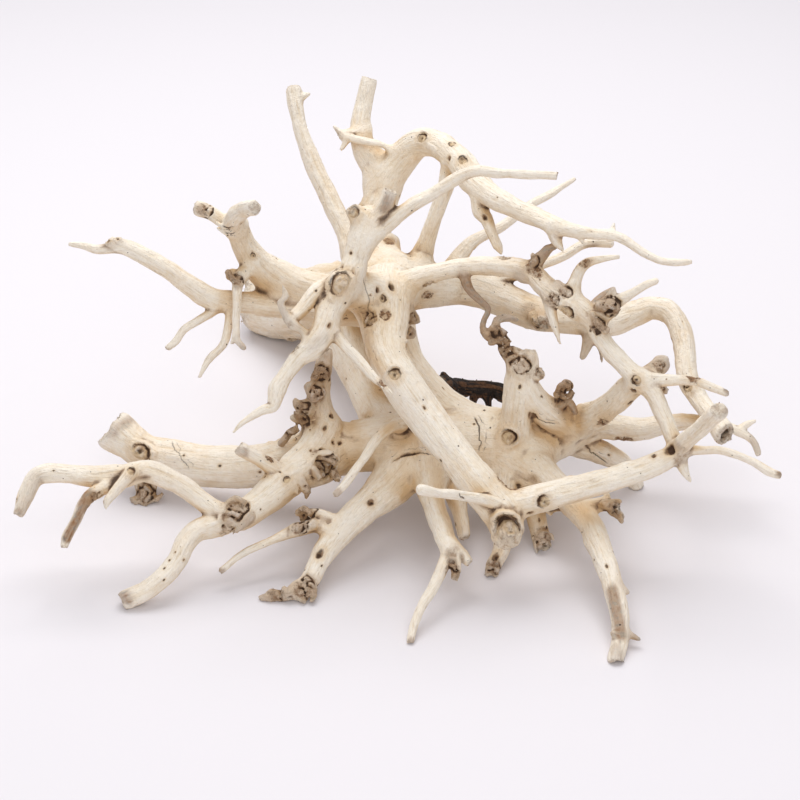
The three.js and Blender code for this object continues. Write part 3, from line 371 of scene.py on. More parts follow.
# %% The swellings and the small torn bits
SWELLINGS = {
    "big_knot": [53.5, -65, -82, 8], "ring_knot": [-30, 58.5, -71, 6],
    "stump_burl": [-41, 5, -33, 4.8], "branch_burl": [103.5, 46, -67, 5],
    "end_knot": [-130, -26, -3, 4.8], "twig_knot": [-83.5, 62, -46, 3.4],
    "elbow_knot": [-83, -58, -66, 5.6],
}
BITS = {
    "tendril_nodule_a": [[44, 31.5, -46, 2], [47.5, 34.5, -46, 2.9], [52, 32, -46, 2.5]],
    "tendril_nodule_b": [[46, 28.5, -46, 1.9], [50.5, 30, -47, 2.2], [54.5, 28.8, -45, 1.4]],
    "tendril_flap": [[56, 25, -45, 2.2], [60.5, 24, -43, 1.8], [62, 21, -42, 1.2]],
    "stump_knob": [[66, 12, -45, 3.4], [71.5, 13.8, -46, 2.9]],
    "stump_knob_low": [[61, 14, -48, 3.7], [59, 19, -49, 3.4]],
    "collar_left": [[-42.5, 11, -37, 2], [-41, 15.5, -38, 1.8], [-38, 14.5, -38, 1.7]],
    "collar_right": [[-36.5, 12, -36, 2.1], [-34.8, 16, -35, 1.4]],
    "oval_knob": [[-45, 6.5, -37, 2.7], [-42, 2, -39, 3.8], [-37.5, 4.5, -38, 2.5]],
    "torn_cup": [[-45, -3, -32, 3.4], [-51, -2.5, -33, 2.6], [-53, 0.5, -32, 1]],
    "cup_lip": [[-45, -6, -32, 2.8], [-52, -6.3, -33, 1.2]],
    "stump_shard": [[-45, -11.5, -30, 3], [-51, -8.5, -31, 1.6], [-53, -5.8, -31, 0.6]],
    "bark_ridge_a": [[-59, -21.5, -22, 2], [-55, -17.5, -25, 2.2], [-50, -14.5, -27, 1.8]],
    "crevice_lump_a": [[-41, -28, -43, 2.5], [-36.5, -27.5, -44, 2.7], [-33, -31, -44, 2.2]],
    "crevice_lump_b": [[-43, -35, -48, 2.7], [-39.5, -39.5, -50, 2.2]],
    "crevice_lump_c": [[-33, -36, -44, 2.2], [-30.5, -40.5, -44, 1.8]],
    "arm_shard_a": [[-49, -41, -52, 3], [-45.5, -46.5, -52, 1.6], [-46.8, -49.5, -52, 0.7]],
    "arm_shard_b": [[-53, -42, -52, 2.2], [-50.5, -47.5, -53, 0.8]],
    "elbow_splinter_a": [[-86, -60, -66, 2.6], [-91, -63.5, -67, 1.8], [-95.5, -65.2, -68, 0.6]],
    "elbow_splinter_b": [[-76, -59, -67, 3.2], [-80, -64, -69, 2], [-83.5, -67.3, -70, 0.6]],
    "elbow_lip": [[-87, -52.5, -67, 1.6], [-82.5, -49.3, -68, 1.8], [-78, -52, -68, 1.5]],
    "stub_lip": [[-51, -56, -57, 1.7], [-47.5, -54.5, -58, 2], [-44, -57.5, -59, 1.7]],
    "twig_knuckle": [[-44, -62.5, -61, 3], [-51, -64.5, -62, 3.4], [-54.5, -65.5, -62, 2.6]],
    "leg_crumb_a": [[-51, -93, -74, 2.6], [-56.5, -96, -75, 2.2], [-58.5, -93.5, -75, 1.1]],
    "leg_crumb_b": [[-58, -98.5, -74, 1.9], [-63.5, -96.3, -74, 2.1], [-68, -98.8, -73, 1.3]],
    "leg_crumb_c": [[-45, -91, -73, 2.4], [-43.5, -97.5, -75, 1.8], [-45, -101, -76, 1]],
    "foot_crumb_a": [[-128, -46, 2, 2.5], [-131.5, -50.5, 1, 1.7], [-134, -49.5, 1, 1]],
    "foot_crumb_b": [[-125, -46, 1, 2.4], [-121.5, -49.5, 0, 1.5], [-118, -46.5, 0, 0.9]],
    "foot_crumb_c": [[-127, -48, -1, 2.1], [-126, -53.5, -2, 1.1]],
    "limb_dot_a": [[-143, 78, -60, 2.4], [-146.3, 79.2, -62, 2]],
    "limb_dot_b": [[-140, 78.5, -59, 2.4], [-141, 80.8, -61, 1.8]],
    "twig_crack_lip": [[-86, 63.5, -52, 1.7], [-83.5, 60, -53, 1.8], [-79, 58, -53, 1.4]],
    "twig_fork_tip": [[-81.5, 31, -58.5, 1.9], [-78.8, 27.5, -59, 1.7], [-77.2, 25.5, -59, 1]],
    "thumb_ridge_a": [[-91.5, 89, -68, 0.9], [-88, 86.6, -71, 1.3], [-84, 87, -72, 0.9]],
    "thumb_ridge_b": [[-91, 86.3, -67, 0.9], [-87.5, 84, -69.5, 1.3], [-84, 84.2, -70, 0.9]],
    "burl_lump": [[100, 47.5, -70, 2.8], [105, 47, -71, 3], [108.5, 44, -69, 2]],
    "burl_flap": [[96, 42.5, -70, 1.4], [99.5, 38, -72, 2], [104, 34.5, -72, 1.4]],
    "prong_wrap": [[63.5, 66.5, -55, 1.6], [67.5, 69, -57, 2.2], [66, 73, -56, 1.1]],
    "rolled_knot": [[78.5, 57.5, -61, 2.2], [82, 54.5, -63, 2.7], [84.5, 51, -63, 1.9]],
    "thorn_collar": [[73, 52, -60, 1.8], [75.5, 49.5, -61, 2.1], [78, 50.5, -61, 1.5]],
    "knot_lip": [[46, -59, -84, 1.8], [52, -56.3, -86, 2], [59, -59, -85, 1.8]],
    "knot_lip_low": [[47, -69, -82, 1.6], [52.5, -73, -83, 1.7], [59, -70.5, -83, 1.6]],
    "pale_lump": [[69, -50.5, -42, 4], [74.5, -52, -44, 4.6], [77, -56, -45, 3]],
    "leg_fork_a": [[103, -52.5, -60, 2.6], [107.5, -51.5, -61, 2], [110.5, -50.8, -61, 1.2]],
    "leg_fork_b": [[106, -55.5, -60, 2.6], [110, -58.5, -61, 2.1], [110.5, -62, -61, 1]],
    "leg_end_lip": [[107, -117, -109, 1.9], [112.5, -118.5, -108, 1.8]],
    "short_leg_lip": [[68, -69.5, -38, 1.8], [72, -67, -40, 2.1], [76, -69.5, -38, 1.5]],
    "curl_a": [[78.5, 3, -39, 1.9], [81.5, 7.2, -41, 2], [85.5, 6.2, -41, 1.5]],
    "curl_b": [[80, -3, -36, 2], [84.5, 0.5, -38, 1.7], [86.5, 4, -38, 1.2]],
    "stub_horn": [[130.5, 18.5, -58, 3.4], [134, 21.5, -57, 1.2]],
}
print(len(SWELLINGS), "swellings and", len(BITS), "small bits")

# %% [markdown]
# A route's few points are joined by a smooth curve. A centripetal Catmull-Rom curve passes
# through every point and makes no loops between near ones, so it suits drawn lines.
# A pair of directions is carried along without twist, because the grain later follows it.

# %% Turn the routes into smooth centre lines
SAMPLE_GAP = 2.4
GRAIN_APART = 97.0


def place(rows):
    """Where route points are above the floor, in mm, with the limb's radius there."""
    across, up, back, radius = np.array(rows, float).T
    nearness = 1 + back / EYE_DISTANCE
    x = across * nearness - BOX_MIDDLE[0]
    y = up * nearness * math.sin(LOOK_DOWN) + back * math.cos(LOOK_DOWN) - BOX_MIDDLE[1]
    z = up * nearness * math.cos(LOOK_DOWN) - back * math.sin(LOOK_DOWN) + MIDDLE_HEIGHT
    return np.stack([x, y, z, radius * nearness], 1)


def unit(vectors):
    """Vectors of length 1 with the same directions."""
    return vectors / np.maximum(np.linalg.norm(vectors, axis=-1, keepdims=True), 1e-9)


def smooth_line(rows):
    """Samples along the centripetal curve through the route: x, y, z, radius."""
    points = place(rows)
    padded = np.vstack([2 * points[0] - points[1], points, 2 * points[-1] - points[-2]])
    knots = np.sqrt(np.linalg.norm(np.diff(padded[:, :3], axis=0), axis=1))
    samples = [points[:1]]
    for i in range(len(points) - 1):
        before, start, end, after = padded[i:i + 4]
        gap_before, gap, gap_after = knots[i:i + 3]
        leave = gap * ((start - before) / gap_before - (end - before) / (gap_before + gap)
                       + (end - start) / gap)
        arrive = gap * ((end - start) / gap - (after - start) / (gap + gap_after)
                        + (after - end) / gap_after)
        count = max(2, math.ceil(np.linalg.norm((end - start)[:3]) / SAMPLE_GAP))
        t = (np.arange(1, count + 1) / count)[:, None]
        curve = (start * (2 * t**3 - 3 * t**2 + 1) + leave * (t**3 - 2 * t**2 + t)
                 + end * (3 * t**2 - 2 * t**3) + arrive * (t**3 - t**2))
        curve[:, 3:] = start[3] + (end[3] - start[3]) * t
        samples.append(curve)
    return np.vstack(samples)


class Limb:
    """A limb's samples, the length up to each, and two directions across it."""

    def __init__(self, name, rows, number):
        line = smooth_line(rows)
        self.name = name
        self.centre = line[:, :3]
        self.radius = line[:, 3]
        self.thickest = float(self.radius.max())
        steps = np.linalg.norm(np.diff(self.centre, axis=0), axis=1)
        self.length = np.concatenate([[0], np.cumsum(steps)])
        self.along = unit(np.gradient(self.centre, axis=0))
        self.offset = GRAIN_APART * number
        side = np.array([0.0, 0.0, 1.0] if abs(self.along[0][2]) < 0.8 else [0.0, 1.0, 0.0])
        sides = []
        for along in self.along:
            side = unit(side - along * (side @ along))
            sides.append(side)
        self.side = np.array(sides)
        self.across = np.cross(self.along, self.side)

    def end(self, which):
        """The middle, the radius and the outward direction of its start or end."""
        i = 0 if which == "start" else -1
        return self.centre[i], self.radius[i], self.along[i] * (-1 if which == "start" else 1)


limbs = {name: Limb(name, rows, i) for i, (name, rows) in enumerate((ROUTES | BITS).items())}
print("total length of the limbs, in mm:", round(sum(b.length[-1] for b in limbs.values())))

# %% [markdown]
# ## How the limbs end
# Most twigs taper to a rounded tip, but the thick ends are snapped, sawn or rotted hollow.
# A snapped end is cut by a rough plane across the limb. Each row gives the limb, how far past
# the end the break lies in radii, how rough it is in mm, how deep a hollow goes in radii, and
# the word start where it isn't the limb's far end that broke.

# %% The broken ends
SNAPS = [
    ("trunk", 0.1, 1.6, 0, "start"), ("trunk", 0.35, 1, 0.9), ("rear_root", 0.3, 1, 0),
    ("rear_root_stub", 0.4, 0.8, 0), ("top_stump", 0.35, 1.2, 0.7),
    ("lower_mass", 0.15, 1, 0, "start"), ("front_limb", 0.55, 0.7, 0),
    ("branch_drop", 0.3, 0.5, 0), ("arm_stub", 0.5, 0.5, 0), ("tendril", 0.5, 0.6, 0),
    ("joint_stub", 0.45, 0.6, 0.5), ("joint_stub_low", 0.5, 0.5, 0), ("trunk_stub", 0.4, 0.8, 0),
    ("stump", 0.5, 0.9, 0), ("stump_shoulder", 0.3, 0.7, 0), ("decayed", 0.3, 1.5, 0),
    ("right_leg", 0.35, 0.8, 0.5), ("leg_stub", 0.4, 1, 0.4), ("leg_bump", 0.5, 0.5, 0),
    ("knot_leg", 0.35, 0.8, 0.5), ("short_leg", 0.3, 1.2, 0.6), ("left_leg", 0.4, 0.8, 0.6),
    ("left_leg_stub", 0.4, 0.8, 0.3), ("left_leg_toe", 0.4, 0.5, 0),
    ("left_leg_prong", 0.3, 0.8, 0), ("hanging_twig", 0.4, 0.4, 0),
    ("left_limb_twig", 0.3, 0.3, 0), ("left_leg_twig", 0.4, 0.3, 0.4),
    ("stripped_twig", 0.4, 0.5, 0), ("centre_leg", 0.4, 0.6, 0), ("centre_tongue", 0.3, 0.7, 0.5),
    ("centre_stub", 0.5, 0.4, 0), ("centre_twig", 0.4, 0.4, 0), ("centre_leg_rear", 0.5, 0.5, 0),
    ("side_twig", 0.4, 0.4, 0), ("left_arm_foot", 0.35, 0.8, 0.5), ("left_arm_stub", 0.5, 0.5, 0),
    ("left_stump", 0.5, 1, 0.4), ("stump_spur_high", 0.3, 0.5, 0), ("upper_left_end", 0.4, 0.9, 0),
    ("upper_left_thumb", 0.7, 0.5, 0), ("upright_knob", 0.5, 0.4, 0),
    ("upright_stub", 0.35, 0.5, 0.3), ("upright_twig", 0.3, 0.5, 0), ("upright_side", 0.4, 0.6, 0),
    ("left_prong", 0.5, 0.4, 0), ("right_prong", 0.35, 0.4, 0), ("prong_side", 0.4, 0.3, 0),
    ("foot_lump", 0.3, 1, 0), ("rear_leg", 0.4, 0.6, 0), ("lower_arm", 0.4, 0.4, 0),
    ("left_arm_far", 0.35, 0.5, 0), ("arm_twig", 0.4, 0.3, 0), ("branch_twig", 0.4, 0.3, 0),
    ("crown_knob_high", 0.5, 0.7, 0), ("crown_knob_low", 0.5, 0.7, 0),
]
BREAKS = [(name, *(which or ["end"]), past, rough, hollow)
          for name, past, rough, hollow, *which in SNAPS]
print(len(BREAKS), "broken ends")

# %% [markdown]
# ## Noise
# Wood is never smooth, so its swellings, flutes and pits come from noise. This one is
# gradient-free value noise: a random number at each point of a lattice, got by hashing
# the point, and blended smoothly between. It gives the same result at every run.

# %% A noise for vertices
AXIS_PRIMES = (73856093, 19349663, 83492791)
SEED_PRIME = 2654435761
STIRS = ((15, 2246822519), (13, 3266489917))


def lattice(ix, iy, iz, seed):
    """A fixed random number from -1 to 1 for each whole-numbered point."""
    with np.errstate(over="ignore"):
        mixed = np.uint32(seed * SEED_PRIME % 2**32)
        for whole, prime in zip((ix, iy, iz), AXIS_PRIMES):
            mixed = mixed ^ whole.astype(np.uint32) * np.uint32(prime)
        for shift, prime in STIRS:
            mixed = (mixed ^ mixed >> np.uint32(shift)) * np.uint32(prime)
        mixed = mixed ^ mixed >> np.uint32(16)
    return mixed.astype(np.float32) * np.float32(2 / 2**32) - 1


def noise(points, seed=0):
    """Smooth noise from -1 to 1 at points whose unit is the size of a lump."""
    points = np.asarray(points, np.float32)
    base = np.floor(points)
    part = points - base
    part = part * part * (3 - 2 * part)
    cell = base.astype(np.int64)
    total = np.zeros(len(points), np.float32)
    for dx in (0, 1):
        wx = part[:, 0] if dx else 1 - part[:, 0]
        for dy in (0, 1):
            wy = part[:, 1] if dy else 1 - part[:, 1]
            for dz in (0, 1):
                wz = part[:, 2] if dz else 1 - part[:, 2]
                corner = lattice(cell[:, 0] + dx, cell[:, 1] + dy, cell[:, 2] + dz, seed)
                total += wx * wy * wz * corner
    return total


def smoothstep(low, high, value):
    """0 below low and 1 above high, or the other way round, and smooth between."""
    t = np.clip((value - low) / (high - low), 0, 1)
    return t * t * (3 - 2 * t)


sample = noise(np.random.default_rng(1).uniform(0, 50, (2000, 3)))
print("noise spans", round(float(sample.min()), 2), "to", round(float(sample.max()), 2))

# %% [markdown]
# ## One skin over all the limbs
# Limbs that grow out of each other have soft webs between them, which joined tubes don't.
# So the wood is first a field: at each point of a fine grid, the distance to the nearest
# limb, with distances melted together where two limbs meet. The skin is where it is zero.

# %% Measure a grid's distance to a limb
GRID = 0.9
MARGIN = 5.0
FAR = 60.0
MELT_SHARE, MELT_LEAST, MELT_MOST = 0.34, 0.3, 4.6
low = np.array(cad_low) / MM - MARGIN
high = np.array(cad_high) / MM + MARGIN
shape = np.ceil((high - low) / GRID).astype(int) + 1
axes = [(low[i] + GRID * np.arange(shape[i])).astype(np.float32) for i in range(3)]
field = np.full(shape, FAR, np.float32)


def window(least, most):
    """The part of the grid between two corners, as slices."""
    first = np.clip(np.floor((least - low) / GRID).astype(int), 0, shape - 1)
    last = np.clip(np.ceil((most - low) / GRID).astype(int) + 1, 1, shape)
    return tuple(slice(a, b) for a, b in zip(first, last))


def grid_places(part):
    """Where the grid's points in this part lie: one array for each direction."""
    return np.meshgrid(*(axes[k][part[k]] for k in range(3)), indexing="ij")


def melt(radius):
    """How far two limbs blend into each other."""
    return min(MELT_SHARE * radius + MELT_LEAST, MELT_MOST)


def limb_field(limb, reach):
    """The limb's own distances, and the part of the grid that they cover."""
    pad = limb.thickest + reach
    part = window(limb.centre.min(0) - pad, limb.centre.max(0) + pad)
    start = np.array([s.start for s in part])
    local = np.full([s.stop - s.start for s in part], FAR, np.float32)
    for i in range(len(limb.centre) - 1):
        a, b = limb.centre[i], limb.centre[i + 1]
        ra, rb = limb.radius[i], limb.radius[i + 1]
        pad = max(ra, rb) + reach
        piece = window(np.minimum(a, b) - pad, np.maximum(a, b) + pad)
        x, y, z = (axes[k][piece[k]] - np.float32(a[k]) for k in range(3))
        x, y, z = x[:, None, None], y[None, :, None], z[None, None, :]
        d = (b - a).astype(np.float32)
        t = np.clip((x * d[0] + y * d[1] + z * d[2]) / float(d @ d), 0, 1)
        away = np.sqrt((x - t * d[0])**2 + (y - t * d[1])**2 + (z - t * d[2])**2)
        away -= ra + (rb - ra) * t
        inner = tuple(slice(s.start - o, s.stop - o) for s, o in zip(piece, start))
        np.minimum(local[inner], away, out=local[inner])
    return local, part


print("a grid of", " x ".join(map(str, shape)), "points,", GRID, "mm apart")

# %% [markdown]
# Three more tools shape the field: one breaks the end of a limb off along a rough plane, one
# melts the limb into the wood that is there, and one crumples the skin of soft or torn wood.

# %% Break, melt and crumple
def break_off(limb, local, part, which, past, rough, hollow):
    """Cuts the end of a limb by a rough plane, and may hollow it out."""
    end, radius, outward = limb.end(which)
    centre = end + outward * radius * past
    grid = grid_places(part)
    near = sum((g - centre[k])**2 for k, g in enumerate(grid)) < (2.4 * radius + 2)**2
    points = np.stack([g[near] for g in grid], 1)
    offset = points - centre
    height = offset @ outward
    tilt = noise(points / (1.1 * radius), 5) * 0.35 * radius
    ragged = noise(points / 1.7, 6) * rough + noise(points / 0.9, 7) * rough * 0.4
    cut = height + tilt + ragged
    values = np.maximum(local[near], cut)
    if hollow:
        beside = np.linalg.norm(offset - height[:, None] * outward, axis=1)
        pit = (beside + noise(points / 2.2, 8) * 0.22 * radius) - 0.52 * radius
        bottom = -(height + hollow * radius)
        values = np.maximum(values, -np.maximum(pit, bottom))
    local[near] = values


def join(local, part, blend):
    """Melts a limb's distances into the field."""
    here = field[part]
    share = np.clip(0.5 + 0.5 * (here - local) / blend, 0, 1)
    field[part] = here + (local - here) * share - blend * share * (1 - share)


RIDGE_STRETCH = 0.65


def roughen(limb, local, part, size, amount):
    """Crumples a limb's skin with ridges of this width and height in mm along its fibres."""
    grid = grid_places(part)
    near = np.abs(local) < 2 * amount + GRID
    points = np.stack([g[near] for g in grid], 1)
    way = unit(limb.centre[-1] - limb.centre[0])
    points = points - (points @ way)[:, None] * way * RIDGE_STRETCH
    lumps = noise(points / size, 31) + 0.6 * noise(points / (0.5 * size), 32)
    local[near] += amount * lumps


print("past a radius of", round((MELT_MOST - MELT_LEAST) / MELT_SHARE, 1), "mm all melt alike")

# %% [markdown]
# Now every limb goes through the tools in turn and is melted into the field, and the round
# swellings follow. The rotten and torn limbs are listed with the width and height in mm of
# their ridges. The floor cuts everything that would lie below it.

# %% Melt all the limbs together
CRUMBLY = {"decayed": (3.2, 1.1), "decayed_spur": (2.0, 0.6), "decayed_prongs": (2.0, 0.5),
           "decayed_prong_right": (2.0, 0.5), "foot_lump": (3.4, 1.2), "tendril_hook": (2.4, 0.5),
           "brown_prong": (2.4, 0.5), "left_leg_prong": (2.8, 0.9), "curled_twig": (2.6, 0.6),
           "knobby_twig": (2.6, 0.5)}
BIT_CRUMPLE = (2.0, 0.45)
BIT_BREAK = ("end", 0.1, 0.6, 0)
breaks = {name: [BIT_BREAK] for name in BITS}
for name, which, past, rough, hollow in BREAKS:
    breaks.setdefault(name, []).append((which, past, rough, hollow))
for limb in limbs.values():
    blend = melt(limb.thickest)
    local, part = limb_field(limb, blend + 2 * GRID)
    for settings in breaks.get(limb.name, []):
        break_off(limb, local, part, *settings)
    if limb.name in BITS or limb.name in CRUMBLY:
        roughen(limb, local, part, *CRUMBLY.get(limb.name, BIT_CRUMPLE))
    join(local, part, blend)
for row in SWELLINGS.values():
    x, y, z, radius = place([row])[0]
    pad = radius + melt(radius) + 2 * GRID
    part = window(np.array([x, y, z]) - pad, np.array([x, y, z]) + pad)
    gx, gy, gz = grid_places(part)
    ball = np.sqrt((gx - x)**2 + (gy - y)**2 + (gz - z)**2) - radius
    join(ball.astype(np.float32), part, melt(radius))
np.maximum(field, -axes[2][None, None, :], out=field)
print(f"{(field < 0).sum():,} of the grid's points lie in wood")

# %% [markdown]
# ## The skin as a mesh
# Each grid cell that the skin passes through gets one vertex, at the middle of the places
# where the skin cuts the cell's edges, and vertices of neighbouring cells make squares.
# This is called surface nets. It gives an even, closed mesh that takes relief well.

# %% Draw the skin through the grid
CORNERS = np.array([(i, j, k) for i in (0, 1) for j in (0, 1) for k in (0, 1)])
EDGES = [(a, b) for a in range(8) for b in range(a + 1, 8)
         if np.abs(CORNERS[a] - CORNERS[b]).sum() == 1]


def skin():
    """Vertices in mm and squares of the surface where the field is zero."""
    inside = field < 0
    cells = [s - 1 for s in shape]
    count = np.zeros(cells, np.int8)
    for i, j, k in CORNERS:
        count += inside[i:i + cells[0], j:j + cells[1], k:k + cells[2]]
    active = np.argwhere((count > 0) & (count < 8))
    number = np.full(cells, -1, np.int32)
    number[tuple(active.T)] = np.arange(len(active))
    values = np.stack([field[tuple((active + c).T)] for c in CORNERS], 1)
    total = np.zeros((len(active), 3), np.float32)
    crossings = np.zeros(len(active), np.float32)
    for a, b in EDGES:
        va, vb = values[:, a], values[:, b]
        cut = (va < 0) != (vb < 0)
        t = np.where(cut, va / np.where(cut, va - vb, 1), 0)[:, None]
        total += np.where(cut[:, None], CORNERS[a] + t * (CORNERS[b] - CORNERS[a]), 0)
        crossings += cut
    vertices = low + GRID * (active + total / crossings[:, None])
    squares = []
    for axis in range(3):
        u, v = (axis + 1) % 3, (axis + 2) % 3
        ahead = [slice(None)] * 3
        behind = [slice(None)] * 3
        ahead[axis], behind[axis] = slice(1, None), slice(None, -1)
        change = inside[tuple(ahead)] != inside[tuple(behind)]
        at = np.argwhere(change)
        at = at[(at[:, u] > 0) & (at[:, v] > 0) & (at[:, u] < cells[u]) & (at[:, v] < cells[v])]
        corners = []
        for du, dv in ((-1, -1), (0, -1), (0, 0), (-1, 0)):
            cell = at.copy()
            cell[:, u] += du
            cell[:, v] += dv
            corners.append(number[tuple(cell.T)])
        square = np.stack(corners, 1)
        out = inside[tuple(at.T)]
        square[~out] = square[~out][:, ::-1]
        squares.append(square)
    return vertices, np.vstack(squares)


vertices, squares = skin()
print(f"skin of {len(vertices):,} vertices and {len(squares):,} squares")

# %% [markdown]
# ## Where a point lies on its limb
# Grain runs along a limb, so relief and colour need to know, for each point of the skin,
# which limb it is on, how far along, and how far across. In the web between two limbs both
# answers are kept with a share, so one limb's grain fades into the other's.

# %% Find the limb coordinates of points
SHARE_WIDTH = 3.0
CHUNK = 20000
limb_list = list(limbs.values())


def nearest_on(limb, points):
    """Distance to the limb's surface, coordinates (side, across, along) and radius there."""
    a = limb.centre[:-1]
    step = np.diff(limb.centre, axis=0)
    grow = np.diff(limb.radius)
    square = (step**2).sum(1)
    reach = points @ step.T - (a * step).sum(1)
    t = np.clip(reach / square, 0, 1)
    away = (points**2).sum(1)[:, None] - 2 * points @ a.T + (a**2).sum(1)
    away = np.sqrt(np.maximum(away - 2 * t * reach + t * t * square, 0))
    away -= limb.radius[:-1] + grow * t
    i = away.argmin(1)
    row = np.arange(len(points))
    t = t[row, i]
    offset = points - a[i] - t[:, None] * step[i]
    mix = t[:, None]
    side = unit(limb.side[i] * (1 - mix) + limb.side[i + 1] * mix)
    across = unit(limb.across[i] * (1 - mix) + limb.across[i + 1] * mix)
    along = unit(limb.along[i] * (1 - mix) + limb.along[i + 1] * mix)
    length = limb.length[i] + t * (limb.length[i + 1] - limb.length[i])
    length = length + (offset * along).sum(1) + limb.offset
    place_on = np.stack([(offset * side).sum(1), (offset * across).sum(1), length], 1)
    return away[row, i], place_on, limb.radius[i] + grow[i] * t


def limb_places(points):
    """For each point the two nearest limbs: distance, number, coordinates, radius."""
    n = len(points)
    far = np.full((n, 2), FAR)
    who = np.zeros((n, 2), int)
    spot = np.zeros((n, 2, 3))
    thick = np.ones((n, 2))
    for number, limb in enumerate(limb_list):
        pad = limb.thickest + 6
        inside = (points > limb.centre.min(0) - pad) & (points < limb.centre.max(0) + pad)
        near = np.flatnonzero(inside.all(1))
        for start in range(0, len(near), CHUNK):
            part = near[start:start + CHUNK]
            d, place_on, radius = nearest_on(limb, points[part])
            first = d < far[part, 0]
            second = ~first & (d < far[part, 1])
            for old in (far, who, spot, thick):
                old[part[first], 1] = old[part[first], 0]
            for rank, mask in ((0, first), (1, second)):
                at = part[mask]
                far[at, rank] = d[mask]
                who[at, rank] = number
                spot[at, rank] = place_on[mask]
                thick[at, rank] = radius[mask]
    return far, who, spot, thick


def first_share(far):
    """How much of a point belongs to its nearest limb, from a half up to 1."""
    return 0.5 + 0.5 * smoothstep(0, SHARE_WIDTH, far[:, 1] - far[:, 0])


def vertex_normals(points, squares):
    """The outward normal at each vertex of a mesh of squares."""
    face = np.cross(points[squares[:, 2]] - points[squares[:, 0]],
                    points[squares[:, 3]] - points[squares[:, 1]])
    total = np.zeros_like(points)
    for k in range(4):
        for axis in range(3):
            total[:, axis] += np.bincount(squares[:, k], face[:, axis], len(points))
    return unit(total)


normals = vertex_normals(vertices, squares)
far, who, spot, thick = limb_places(vertices)
print("vertices without a limb:", int((far[:, 0] > 8).sum()))

# %% [markdown]
# ## Relief of the wood
# A dry root swells and pinches along its length, has long shallow flutes where its fibres
# were thicker, and fine ridges between. All of it follows the grain, so the noise is
# stretched along the limb, and its height goes with the limb's thickness.

# %% Raise swellings, flutes and ridges
# How often around the limb, length in mm, seed, and height as a share of the radius.
RELIEF = {"swellings": (0.5, 23, 11, 0.085), "flutes": (1.5, 34, 12, 0.06),
          "grooves": (3.2, 22, 13, 0.03)}
RIDGE_WIDTH, RIDGE_LENGTH, RIDGE_SEED, RIDGE_MOST = 1.6, 11, 14, 0.15
WIDEST = 14


def relief(spot, radius):
    """Height of the wood's own relief, in mm, at places on a limb."""
    side, along = spot[:, :2], spot[:, 2:]
    wide = np.minimum(radius, WIDEST)[:, None]
    height = np.zeros(len(spot))
    for often, length, seed, part in RELIEF.values():
        height += noise(np.hstack([side / wide * often, along / length]), seed) * part * radius
    ridge = noise(np.hstack([side / RIDGE_WIDTH, along / RIDGE_LENGTH]), RIDGE_SEED)
    return height + ridge * np.minimum(RIDGE_MOST, 0.045 * radius)


share = first_share(far)
height = relief(spot[:, 0], thick[:, 0]) * share + relief(spot[:, 1], thick[:, 1]) * (1 - share)
slim = np.clip(thick[:, 0] / 5, 0.35, 1)
height += noise(vertices / 6.5, 15) * 0.30 * slim + noise(vertices / 2.6, 16) * 0.15 * slim
# A slow wander of the whole limb, and a quicker crook that only thin ones have.
wander = np.stack([noise(vertices / 17, seed) for seed in (21, 22, 23)], 1) * 0.6
crook = np.stack([noise(vertices / 7.5, seed) for seed in (24, 25, 26)], 1)
wander += crook * np.clip(0.5 - 0.04 * thick[:, :1], 0.08, 0.4)
print("relief from", round(float(height.min()), 2), "to", round(float(height.max()), 2), "mm")

# %% [markdown]
# ## Knots, holes and scars
# Where a branch died, the root grew a collar round its stub, and the stub dried to a cracked
# brown plug inside a dark groove. Other scars are small insect holes, sunken pits and torn
# brown patches, and a gnarl is a torn, crumpled knot with deep clefts. Each is placed as seen
# from the eye, with across, up and radius in mm, and the way its deep side faces in degrees.
# The facing is left out where it is 0 or has no meaning.

